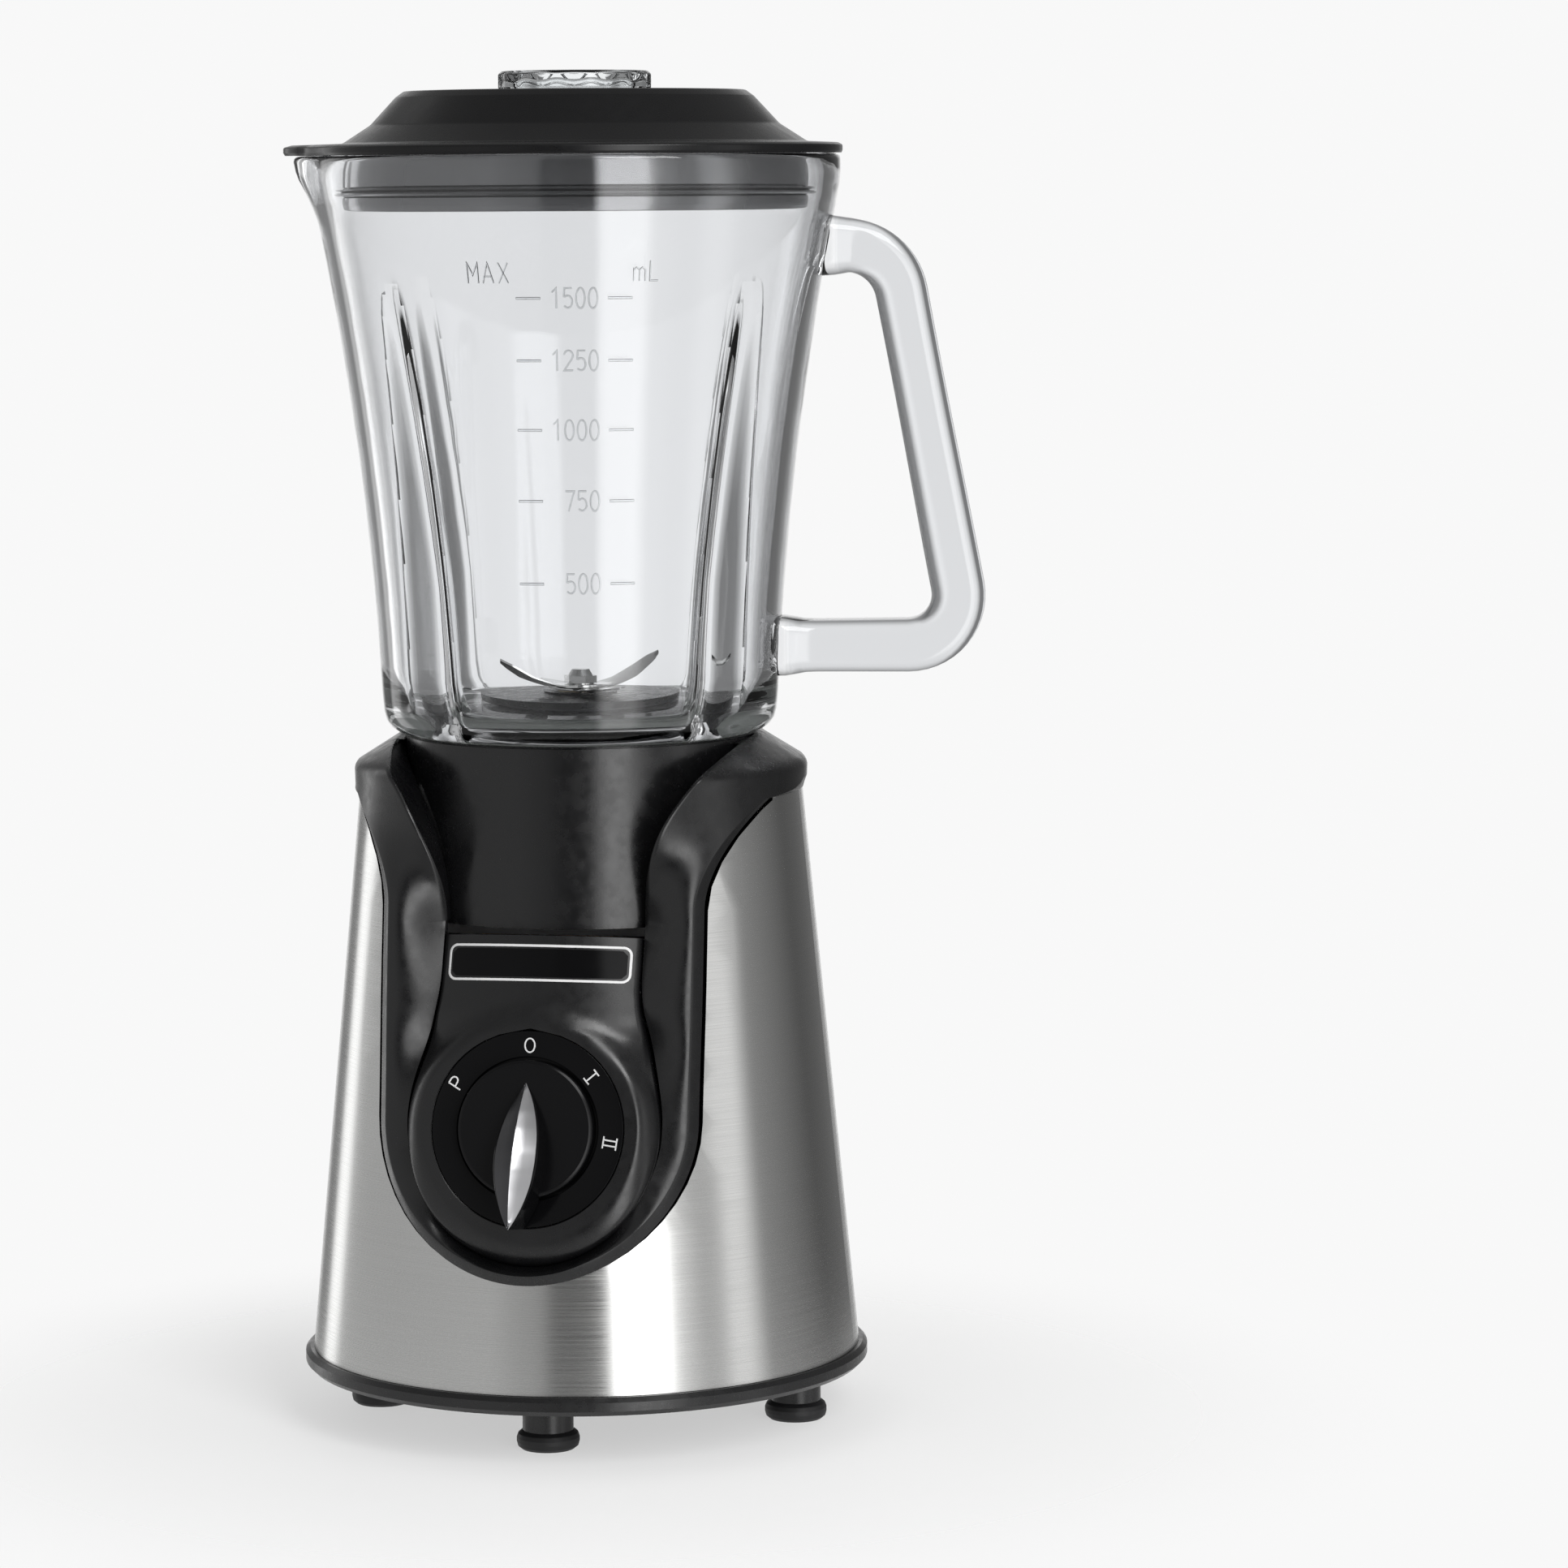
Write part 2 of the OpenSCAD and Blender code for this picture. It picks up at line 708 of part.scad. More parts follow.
module filler_cap() {
  top = lid_top_z + 5.7;
  color(clear) difference() {
    rotate_extrude()
      polygon([[19.9, 376], [19.9, lid_top_z + 0.1], [cap_r, lid_top_z + 0.1],
               [cap_r, top - 0.8], [cap_r - 0.8, top], [0, top], [0, top - 2.2],
               [17.6, top - 2.2], [17.6, 376]]);
    ring_of(24, cap_r + 0.9) rod(1.6, lid_top_z, top - 1.6);
  }
}

rubber_feet();
base_plate();
base_screws();
steel_wrap();
housing();
neck_column();
column_screws();
control_fascia();
dial_ring();
badge_plate();
cord_gland();
seat_ring();
rotary_switch();
motor_chassis();
rubber_mounts();
stator_core();
field_coils();
lower_bracket();
upper_bracket();
bearings();
brush_holders();
carbon_brushes();
motor_bolts();
knob();
knob_grip();
switch_spindle();
motor_shaft();
armature();
commutator();
fan();
drive_coupling();
glass_jar();
blade_carrier();
carrier_seal();
carrier_nut();
blade_bush();
blade_shaft();
lower_blades();
upper_blades();
blade_nut();
driven_coupling();
lid();
lid_seal();
filler_cap();
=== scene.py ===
"""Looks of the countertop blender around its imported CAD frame. Lengths in the geometry code are
millimetres and become metres when a mesh is made."""

import json
import math

import bmesh
import bpy
import numpy as np
from mathutils import Matrix, Vector


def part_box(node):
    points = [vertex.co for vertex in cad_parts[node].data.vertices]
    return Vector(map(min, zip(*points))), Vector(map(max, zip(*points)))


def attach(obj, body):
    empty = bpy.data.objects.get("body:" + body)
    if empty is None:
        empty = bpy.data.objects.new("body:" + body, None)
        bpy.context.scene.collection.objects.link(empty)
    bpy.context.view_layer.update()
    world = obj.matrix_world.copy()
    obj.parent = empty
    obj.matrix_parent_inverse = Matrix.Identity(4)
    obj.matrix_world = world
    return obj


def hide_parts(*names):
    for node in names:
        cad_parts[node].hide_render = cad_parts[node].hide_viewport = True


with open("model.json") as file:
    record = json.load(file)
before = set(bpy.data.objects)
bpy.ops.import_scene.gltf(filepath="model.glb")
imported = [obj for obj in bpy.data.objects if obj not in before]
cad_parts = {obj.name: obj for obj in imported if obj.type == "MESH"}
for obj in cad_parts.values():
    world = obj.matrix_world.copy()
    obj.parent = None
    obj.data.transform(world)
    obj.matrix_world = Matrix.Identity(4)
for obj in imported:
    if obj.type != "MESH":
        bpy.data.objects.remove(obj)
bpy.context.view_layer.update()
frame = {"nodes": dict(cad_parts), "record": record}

MM = 0.001
JAR_TURN = math.radians(11)  # spout and handle are turned this far about Z


def top(node):
    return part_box(node)[1].z / MM


def low(node):
    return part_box(node)[0].z / MM


RIM_Z = 377.0  # top of the glass
DECK_Z = top("neck_column")
LID_TOP = top("lid")
STEP_Z = 154.5  # the fascia ends here, the open front of the column begins
joints = {j["name"]: j for j in frame["record"]["behaviour"]["joints"]}
DIAL_POS = np.array(joints["knob_turn"]["pos_m"]) / MM
DIAL_Z = DIAL_POS[2]
DIAL_OUT = -np.array(joints["knob_turn"]["axis"])
TILT = math.atan2(DIAL_OUT[2], -DIAL_OUT[1])

# ------------------------------------------------------------------ mesh tools


def smooth(t):
    t = np.clip(t, 0, 1)
    return t * t * (3 - 2 * t)


def make(name, verts, faces, body, mat, replaces=(), sharp=32, weld=0.002, outward=True):
    """Adds a smooth-shaded mesh; with a body it becomes a piece of the visual model, and it may
    stand in for CAD nodes."""
    me = bpy.data.meshes.new(name)
    me.from_pydata([tuple(np.asarray(v, float) * MM) for v in verts], [], [tuple(f) for f in faces])
    bm = bmesh.new()
    bm.from_mesh(me)
    bmesh.ops.remove_doubles(bm, verts=bm.verts, dist=weld * MM)
    bmesh.ops.dissolve_degenerate(bm, dist=1e-7, edges=bm.edges)
    loose = [v for v in bm.verts if not v.link_faces]
    bmesh.ops.delete(bm, geom=loose, context="VERTS")
    if outward:
        bmesh.ops.recalc_face_normals(bm, faces=bm.faces)
    bm.to_mesh(me)
    bm.free()
    for p in me.polygons:
        p.use_smooth = True
    me.set_sharp_from_angle(angle=math.radians(sharp))
    me.materials.append(mat)
    ob = bpy.data.objects.new(name, me)
    bpy.context.scene.collection.objects.link(ob)
    if body:
        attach(ob, body)
    if replaces:
        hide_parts(*replaces)
    return ob


def grid(rows, close_rows=False, close_cols=False, base=0):
    """Faces of a grid given as rows of equal length."""
    n, m = len(rows), len(rows[0])
    out = []
    for i in range(n if close_rows else n - 1):
        for j in range(m if close_cols else m - 1):
            a, b = i, (i + 1) % n
            c, d = j, (j + 1) % m
            out.append((base + a * m + c, base + a * m + d, base + b * m + d, base + b * m + c))
    return out


def add_grid(verts, faces, rows, **kw):
    """Appends a grid's points and faces to a mesh in the making."""
    faces += grid(rows, base=len(verts), **kw)
    verts += [tuple(v) for row in rows for v in row]


def end_caps(width, count):
    """The two end faces of a tube made of rows of that width."""
    return [tuple(range(width - 1, -1, -1)), tuple(range(count - width, count))]


def fillet(points, steps=5):
    """Profile (x, y, r): each corner with r > 0 becomes an arc."""
    out = []
    n = len(points)
    for i, (x, y, r) in enumerate(points):
        if r <= 0 or i in (0, n - 1):
            out.append((x, y))
            continue
        p = np.array([x, y])
        u = np.array(points[i - 1][:2]) - p
        v = np.array(points[i + 1][:2]) - p
        lu, lv = np.linalg.norm(u), np.linalg.norm(v)
        u, v = u / lu, v / lv
        half = math.acos(max(-1, min(1, float(u @ v)))) / 2
        reach = min(r / math.tan(half), lu * 0.49, lv * 0.49)
        rr = reach * math.tan(half)
        o = p + (u + v) / np.linalg.norm(u + v) * rr / math.sin(half)
        a, b = p + u * reach - o, p + v * reach - o
        ang = math.atan2(a[0] * b[1] - a[1] * b[0], float(a @ b))
        for k in range(steps + 1):
            w = ang * k / steps
            out.append((o[0] + a[0] * math.cos(w) - a[1] * math.sin(w),
                        o[1] + a[0] * math.sin(w) + a[1] * math.cos(w)))
    return out


def lathe(profile, n=160, closed=True, wave=None):
    """Revolves (r, z) points about Z. wave(angle, r, z) may change r."""
    rows = []
    for k in range(n):
        a = 2 * math.pi * k / n
        row = []
        for r, z in profile:
            q = wave(a, r, z) if wave else r
            row.append((q * math.cos(a), q * math.sin(a), z))
        rows.append(row)
    verts, faces = [], []
    add_grid(verts, faces, rows, close_rows=True, close_cols=closed)
    return verts, faces


def at_dial(points):
    """Dial frame (x right, y up the panel, z out) to the row frame."""
    out = []
    c, s = math.cos(TILT), math.sin(TILT)
    for x, y, z in points:
        out.append((DIAL_POS[0] + x, DIAL_POS[1] - z * c + y * s, DIAL_POS[2] + z * s + y * c))
    return out


def turned(points, angle):
    """Points turned about Z."""
    c, s = math.cos(angle), math.sin(angle)
    return [(x * c - y * s, x * s + y * c, z) for x, y, z in points]


# ------------------------------------------------------------------ materials


def material(name):
    m = bpy.data.materials.new(name)
    m.use_nodes = True
    nt = m.node_tree
    return m, nt, nt.nodes["Principled BSDF"]


def feed(nt, n, inputs):
    """Sets a node's inputs, each to a constant or to the socket that feeds it."""
    for key, value in inputs.items():
        if isinstance(value, bpy.types.NodeSocket):
            nt.links.new(value, n.inputs[key])
        else:
            n.inputs[key].default_value = value


def node(nt, kind, inputs=None, **settings):
    n = nt.nodes.new("ShaderNode" + kind)
    for key, value in settings.items():
        setattr(n, key, value)
    feed(nt, n, inputs or {})
    return n


def times(nt, value, factor):
    return node(nt, "Math", {0: value, 1: factor}, operation="MULTIPLY").outputs[0]


def object_coord(nt):
    return node(nt, "TexCoord").outputs["Object"]


def noise(nt, coord, scale, detail=2.0, rough=0.5):
    inputs = {"Scale": scale, "Detail": detail, "Roughness": rough, "Vector": coord}
    return node(nt, "TexNoise", inputs).outputs["Fac"]


def ramp_to(nt, fac, lo, hi, socket):
    """Spreads the middle of a noise over lo to hi."""
    inputs = {"From Min": 0.3, "From Max": 0.7, "To Min": lo, "To Max": hi, "Value": fac}
    nt.links.new(node(nt, "MapRange", inputs).outputs["Result"], socket)


def tint(nt, fac, a, b, socket):
    """Wanders between two colours."""
    mix = node(nt, "Mix", {"A": (*a, 1), "B": (*b, 1), "Factor": fac}, data_type="RGBA")
    nt.links.new(mix.outputs["Result"], socket)


def shades(color, dark, light):
    return [c * dark for c in color], [min(1, c * light) for c in color]


def bump(nt, fac, bsdf, strength, depth):
    """Relief from a noise, depth in metres."""
    b = node(nt, "Bump", {"Strength": strength, "Distance": depth, "Height": fac})
    nt.links.new(b.outputs["Normal"], bsdf.inputs["Normal"])


GRAIN_DEPTH, SCRATCH_DEPTH, RIPPLE_DEPTH = 0.00008, 0.00003, 0.0006


def grained(name, color, rough, grain=1500.0, strength=0.2, vary=0.06, metal=0.0, coat=0.0, spec=0.5):
    """Moulded or cast surface: fine grain, slightly uneven colour and gloss."""
    m, nt, p = material(name)
    obj = object_coord(nt)
    tint(nt, noise(nt, obj, 45.0), *shades(color, 0.86, 1.14), p.inputs["Base Color"])
    ramp_to(nt, noise(nt, obj, 260.0, 3.0), rough - vary, rough + vary, p.inputs["Roughness"])
    bump(nt, noise(nt, obj, grain, 3.0, 0.6), p, strength, GRAIN_DEPTH)
    feed(nt, p, {"Metallic": metal, "Specular IOR Level": spec, "Coat Weight": coat, "Coat Roughness": 0.12})
    return m


def brushed(name, color, rough, fine=4200.0, strength=0.08, aniso=0.65):
    """Metal with fine parallel scratches round the axis."""
    m, nt, p = material(name)
    place = node(nt, "SeparateXYZ", {0: object_coord(nt)}).outputs
    angle = node(nt, "Math", {0: place["X"], 1: times(nt, place["Y"], -1.0)}, operation="ARCTAN2").outputs[0]

    def scratches(round_scale, up_scale, detail):
        unrolled = node(nt, "CombineXYZ", {0: times(nt, angle, round_scale), 1: times(nt, place["Z"], up_scale)})
        return noise(nt, unrolled.outputs[0], 1.0, detail, 0.6)

    hairlines = scratches(2.2, fine, 3.0)
    tint(nt, scratches(0.9, fine * 0.3, 4.0), *shades(color, 0.95, 1.04), p.inputs["Base Color"])
    ramp_to(nt, hairlines, rough - 0.06, rough + 0.08, p.inputs["Roughness"])
    bump(nt, hairlines, p, strength, SCRATCH_DEPTH)
    p.inputs["Metallic"].default_value = 1.0
    if aniso:
        tangent = node(nt, "Tangent", direction_type="RADIAL", axis="Z").outputs[0]
        feed(nt, p, {"Tangent": tangent, "Anisotropic": aniso, "Anisotropic Rotation": 0.25})
    return m


SHADOW_PASS = 0.8  # share of the light that glass lets through instead of casting a shadow


def clear(name, color, ior, ripple):
    """Glass or clear plastic with a slight moulded ripple."""
    m, nt, p = material(name)
    obj = object_coord(nt)
    tint(nt, noise(nt, obj, 38.0), *shades(color, 0.99, 1.0), p.inputs["Base Color"])
    ramp_to(nt, noise(nt, obj, 120.0), 0.0, 0.02, p.inputs["Roughness"])
    bump(nt, noise(nt, obj, 55.0, 1.0), p, ripple, RIPPLE_DEPTH)
    feed(nt, p, {"Transmission Weight": 1.0, "IOR": ior})
    passing = times(nt, node(nt, "LightPath").outputs["Is Shadow Ray"], SHADOW_PASS)
    open_way = node(nt, "BsdfTransparent", {0: (*color, 1)})
    mix = node(nt, "MixShader", {0: passing, 1: p.outputs[0], 2: open_way.outputs[0]})
    feed(nt, nt.nodes["Material Output"], {0: mix.outputs[0]})
    return m


BLACK = grained("black_moulding", (0.0045, 0.0045, 0.005), 0.28, 1700.0, 0.12, spec=0.62)
COLUMN = grained("column_moulding", (0.0045, 0.0045, 0.005), 0.26, 1700.0, 0.12, spec=0.62)
DIAL = grained("dial_smooth", (0.003, 0.003, 0.0034), 0.12, 900.0, 0.03, 0.02, spec=0.16)
KNOB = grained("knob_satin", (0.004, 0.004, 0.0045), 0.20, 1400.0, 0.04, 0.02, spec=0.2)
# darker copy of the knob's silver: painted shade for the roof's left side, which faces away from the light
SILVER_PAINTED_SHADE = grained("knob_silver_painted_shade", (0.10, 0.10, 0.105), 0.22, 2600.0, 0.05, 0.03, metal=1.0)
GRIP = grained("knob_silver", (0.46, 0.46, 0.47), 0.30, 2600.0, 0.0, 0.0, metal=1.0)
LIDMAT = grained("lid_satin", (0.005, 0.005, 0.0055), 0.28, 1500.0, 0.08, 0.03, spec=0.36)
SKIRT = grained("lid_skirt", (0.20, 0.20, 0.205), 0.03, 1200.0, 0.0, 0.0, metal=0.6, coat=1.0, spec=1.0)
RUBBER = grained("rubber_matt", (0.012, 0.012, 0.013), 0.5, 900.0, 0.35)
SEAL = grained("seal_soft", (0.022, 0.022, 0.024), 0.4, 900.0, 0.2)
STEEL = brushed("brushed_steel", (0.69, 0.69, 0.68), 0.26, aniso=0.9)
BLADE = brushed("blade_polished", (0.74, 0.74, 0.73), 0.14, strength=0.05, aniso=0.0)
SCREW = grained("zinc_screw", (0.45, 0.45, 0.44), 0.35, 700.0, 0.2, metal=1.0)
GROUND = brushed("ground_steel", (0.66, 0.66, 0.66), 0.2, strength=0.08, aniso=0.0)
BRASS = grained("turned_brass", (0.62, 0.45, 0.2), 0.3, 900.0, 0.15, metal=1.0)
COPPER = grained("copper_wire", (0.56, 0.24, 0.09), 0.35, 2400.0, 0.5, metal=0.9, coat=0.3)
LAMS = brushed("laminations", (0.22, 0.22, 0.23), 0.45, fine=1600.0, strength=0.5, aniso=0.0)
CAST = grained("cast_aluminium", (0.5, 0.5, 0.51), 0.5, 500.0, 0.4, metal=1.0)
CARBON = grained("pressed_carbon", (0.03, 0.03, 0.032), 0.6, 800.0, 0.3)
PHENOLIC = grained("cream_phenolic", (0.66, 0.62, 0.53), 0.45, 900.0, 0.15)
FANMAT = grained("fan_moulding", (0.09, 0.09, 0.10), 0.4, 900.0, 0.15)
WHITE = grained("print_white", (0.82, 0.82, 0.82), 0.4, 2000.0, 0.05, 0.03)
GLASS = clear("jar_glass", (0.92, 0.928, 0.94), 1.47, 0.10)
EMBOSS = clear("jar_emboss", (0.86, 0.87, 0.88), 1.47, 0.3)
CLEAR = clear("cap_plastic", (0.95, 0.97, 0.98), 1.38, 0.0)
RIBGLASS = clear("jar_rib_glass", (0.95, 0.957, 0.965), 1.30, 0.05)
THICK = clear("jar_handle_glass", (0.80, 0.812, 0.83), 1.47, 0.10)
FOOT = clear("jar_foot_glass", (0.42, 0.445, 0.425), 1.47, 0.0)
# the thick ring of glass that the jar stands on is partly opaque, as a moulded foot looks
foot_bsdf = FOOT.node_tree.nodes["Principled BSDF"]
foot_bsdf.inputs["Transmission Weight"].default_value = 0.55

NODE_MATS = {
    "rubber_feet": RUBBER, "base_plate": BLACK, "base_screws": SCREW, "steel_wrap": STEEL,
    "neck_column": COLUMN, "column_screws": SCREW, "badge_plate": DIAL, "cord_gland": RUBBER,
    "seat_ring": RUBBER, "rotary_switch": PHENOLIC, "motor_chassis": BLACK, "rubber_mounts": RUBBER,
    "stator_core": LAMS, "field_coils": COPPER, "lower_bracket": CAST, "upper_bracket": CAST,
    "bearings": GROUND, "brush_holders": BRASS, "carbon_brushes": CARBON, "motor_bolts": SCREW,
    "switch_spindle": SCREW, "motor_shaft": GROUND, "armature": COPPER, "commutator": COPPER,
    "fan": FANMAT, "drive_coupling": RUBBER, "blade_carrier": BLACK, "carrier_seal": SEAL,
    "carrier_nut": BLACK, "blade_bush": BRASS, "blade_shaft": BLADE, "blade_nut": BLADE,
    "driven_coupling": RUBBER, "lid_seal": SKIRT, "dial_ring": DIAL, "housing": BLACK,
    "control_fascia": BLACK, "knob": KNOB, "knob_grip": GRIP, "glass_jar": GLASS, "lid": LIDMAT,
    "filler_cap": CLEAR, "lower_blades": BLADE, "upper_blades": BLADE,
}
for node_name, mat in NODE_MATS.items():
    ob = frame["nodes"][node_name]
    if not ob.data.materials:
        ob.data.materials.append(mat)
    for s in ob.material_slots:
        s.link = "OBJECT"
        s.material = mat

# ------------------------------------------------------------------ base front

WRAP_LOW, WRAP_HIGH = low("steel_wrap"), top("steel_wrap")
WRAP_FOOT_R, WRAP_TAPER = 82.0, 16.0
WRAP_SLOPE = WRAP_TAPER / (WRAP_HIGH - WRAP_LOW)
# The panel opening in the wrap and the fascia's bulb: half width, and depth below the dial's axis.
PANEL_R, PANEL_DROP, BULB_R, BULB_DROP, DIAL_R = 48.0, 44.4, 37.4, 39.4, 28.4
PANEL_GAP, BULB_GAP = 0.45, 0.5
TONGUE_HALF, BULB_RISE = 29.4, 42  # above the dial the bulb narrows to a tongue
TONGUE_LOW, TONGUE_HIGH = (120.0, 69.0), (153.5, 57.5)
ARM_HALF, ARM_FLARE, ARM_FLARE_Z = 30, 15, 160  # the two arms beside the column spread upwards
SHOULDER_Z, COLLAR_Z, DECK_EDGE_Z = 189.5, 205.8, 206.05
COLLAR_IN_R = 52.5
# profile of the housing, heights and their radii
SHELL_Z = [50, 191, 196.2, 197.3, 198.4, 205.0, 205.7, 206.05]
SHELL_R = [81.6, 67.35, 67.5, 67.1, 66.2, 55.5, 54.6, 53.4]
FACE_SINK = 2.0  # the fascia's face below the dial's tangent plane
FACE_BAND = 3.6  # nearly flat band round the dial
SCOOP_FADE = 34.5  # height over which the arms' hollow runs out


def wrap_r(z):
    return WRAP_FOOT_R - WRAP_SLOPE * (z - WRAP_LOW)


def arm_out(z):
    """Half width of the housing's outer edge."""
    widen = 0.3 * smooth((z - DIAL_Z) / BULB_RISE)
    return PANEL_R + PANEL_GAP + widen + ARM_FLARE * np.maximum(0, (z - ARM_FLARE_Z) / 30) ** 1.8


def arm_in(z):
    """Half width of the opening between the arms."""
    return ARM_HALF + 25 * np.maximum(0, (z - STEP_Z) / 52) ** 2.2


def bulb(z):
    """Half width of the fascia above the dial's axis."""
    return TONGUE_HALF + (BULB_R - TONGUE_HALF) * (1 - smooth((z - DIAL_Z) / BULB_RISE))


def tongue_r(z):
    """Radius of the leaning face above the dial."""
    (z0, r0), (z1, r1) = TONGUE_LOW, TONGUE_HIGH
    return r0 + (r1 - r0) * (z - z0) / (z1 - z0)


def shell_r(z):
    """Outer radius of the black housing at height z."""
    return np.interp(z, SHELL_Z, SHELL_R)


def fascia_z(x, y):
    """Height of the fascia above the dial's tangent plane, in the dial's frame."""
    out = max(0.0, math.hypot(x, y) - DIAL_R)
    low_side = float(smooth(-y / 30))
    reach = 5.4 + 2.0 * low_side
    fall = (6.2 - 2.6 * low_side) * max(0.0, (out - FACE_BAND) / reach) ** 1.6
    dome = -FACE_SINK - 0.35 * min(1.0, out / FACE_BAND) - fall
    c, s = math.cos(TILT), math.sin(TILT)
    lean = dome
    for _ in range(4):  # settles on the leaning face, which is given by height and not by y
        z_row = DIAL_Z + lean * s + y * c
        r = float(tongue_r(z_row))
        y_row = -math.sqrt(max(1.0, r * r - x * x))
        lean = (DIAL_POS[1] + y * s - y_row) / c
    up = float(smooth((y - 12) / 22))
    near_dial = 1 - float(smooth(out / 8.0))
    curved = -FACE_SINK * near_dial + lean * (1 - near_dial)
    return dome * (1 - up) + curved * up


def fascia_row_y(x, z):
    """Front-to-back place of the fascia's edge at half width x and height z."""
    c, s = math.cos(TILT), math.sin(TILT)
    y = (z - DIAL_Z) / c
    return DIAL_POS[1] - fascia_z(x, y) * c + y * s


def housing_lines():
    """(kind, outer end, inner end) of each cross line of the housing. An end is (half width, z),
    or (angle, z) for collar and ring."""
    lines = []
    for a in np.arange(-90, 0, 3.0):
        c, s = math.cos(math.radians(a)), math.sin(math.radians(a))
        lines.append(("front", ((PANEL_R + PANEL_GAP) * c, DIAL_Z + (PANEL_DROP + PANEL_GAP) * s),
                      ((BULB_R + BULB_GAP) * c, DIAL_Z + (BULB_DROP + BULB_GAP) * s)))
    for z in np.linspace(DIAL_Z, STEP_Z - 0.1, 26):
        lines.append(("front", (float(arm_out(z)), z), (float(bulb(z)) + BULB_GAP, z)))
    for z in np.linspace(STEP_Z + 0.15, SHOULDER_Z, 26):
        lines.append(("arm", (float(arm_out(z)), z), (float(arm_in(z)), z)))
    first = math.asin(float(arm_out(SHOULDER_Z)) / float(shell_r(SHOULDER_Z)))
    flank = math.radians(92)
    heights = np.linspace(SHOULDER_Z, COLLAR_Z, 16)[1:]
    for i, z in enumerate(heights):
        outer = first + (flank - first) * (i + 1) / len(heights)
        inner = math.asin(min(0.999, float(arm_in(z)) / float(shell_r(z))))
        lines.append(("collar", (outer, SHOULDER_Z), (inner, z)))
    last = lines[-1][2][0]
    for k in range(1, 33):
        f = k / 32
        lines.append(("ring", (flank + (math.pi - flank) * f, SHOULDER_Z),
                      (last + (math.pi - last) * f, DECK_EDGE_Z)))
    return lines


def scoop_depth(kind, angle, z):
    """How far the hollow beside the fascia goes in, given a cross line's inner end."""
    z_seat = min(z, STEP_Z)
    half = float(shell_r(z)) * math.sin(angle)
    y_fascia = fascia_row_y(min(half, float(bulb(z_seat))), z_seat)
    if kind == "arm":
        half = min(half, ARM_HALF)
    depth = y_fascia + 2.2 + math.sqrt(float(shell_r(z_seat)) ** 2 - half ** 2)
    return depth * (1 - float(smooth((z - STEP_Z) / SCOOP_FADE))) if kind == "arm" else depth


def housing_tail(kind, x, y, z):
    """Three points that take a cross line from its inner edge back into the base."""
    if kind == "front":
        sink = 3.2
        if z > 112:  # beside the tongue the edge goes in as deep as the leaning face
            sink = max(sink, -y - math.sqrt((tongue_r(z) - 3) ** 2 - x * x))
        return [(x, y + q, z) for q in (sink * 0.5, sink, sink)]
    tail = []
    angle = math.atan2(x, -y)
    for q in (0.33, 0.66, 1.0):
        if abs(x) < COLLAR_IN_R - 0.4:
            tail.append((x, y + (-math.sqrt(COLLAR_IN_R ** 2 - x ** 2) - y) * q, z))
        else:
            r = math.hypot(x, y)
            r += (COLLAR_IN_R - r) * q
            tail.append((r * math.sin(angle), -r * math.cos(angle), z - 0.3 * q))
    return tail


def housing_skin():
    """The black housing, from its edge on the wrap over the chamfer and hollow to its inner edge."""
    rows = []
    for kind, outer, inner in housing_lines():
        if kind in ("front", "arm"):
            outer, inner = [(math.asin(x / float(shell_r(z))), z) for x, z in (outer, inner)]
        start, end = np.array(outer), np.array(inner)
        mean_r = 0.5 * float(shell_r(end[1]) + shell_r(start[1]))
        length = math.hypot((end[0] - start[0]) * mean_r, (end[1] - start[1]) * 1.25)
        chamfer = min(4.4, 0.62 * length)
        near = [chamfer * q for q in (0, 0.08, 0.25, 0.5, 0.8, 0.94, 1.0, 1.06, 1.15)]
        lip = min(1.3, 0.25 * length)
        far = [length - lip * q for q in (1.0, 0.7, 0.4, 0.17, 0.05, 0)]
        middle = np.linspace(near[-1], length - lip, 15)[1:-1]
        edge_drop = float(shell_r(start[1])) - float(wrap_r(start[1])) - 0.3
        depth = scoop_depth(kind, *end) if kind in ("front", "arm") else 0.0
        row = []
        for d in near + list(middle) + far:
            angle, z = start + (end - start) * (d / length)
            r = float(shell_r(z))
            if d < chamfer:
                r -= edge_drop * (1 - d / chamfer) ** 1.15
            w = max(0.0, (d - chamfer) / (length - chamfer))
            scoop = depth * (0.25 * float(smooth(w)) + 0.75 * w ** 1.5)
            e = length - d
            if kind != "front" and e < 0.9:
                r -= 0.9 * (1 - math.sqrt(max(0, 1 - (1 - e / 0.9) ** 2)))
            row.append((r * math.sin(angle), scoop - r * math.cos(angle), z))
        x, y, z = row[0]
        back = (float(wrap_r(min(z, WRAP_HIGH))) - 0.5) / math.hypot(x, y)
        rows.append([(x * back, y * back, z)] + row + housing_tail(kind, *row[-1]))
    verts, faces = [], []
    add_grid(verts, faces, rows)
    add_grid(verts, faces, [[(-x, y, z) for x, y, z in r] for r in rows])
    return verts, faces


EDGE_R = 1.4  # rounding of the fascia's outer edge


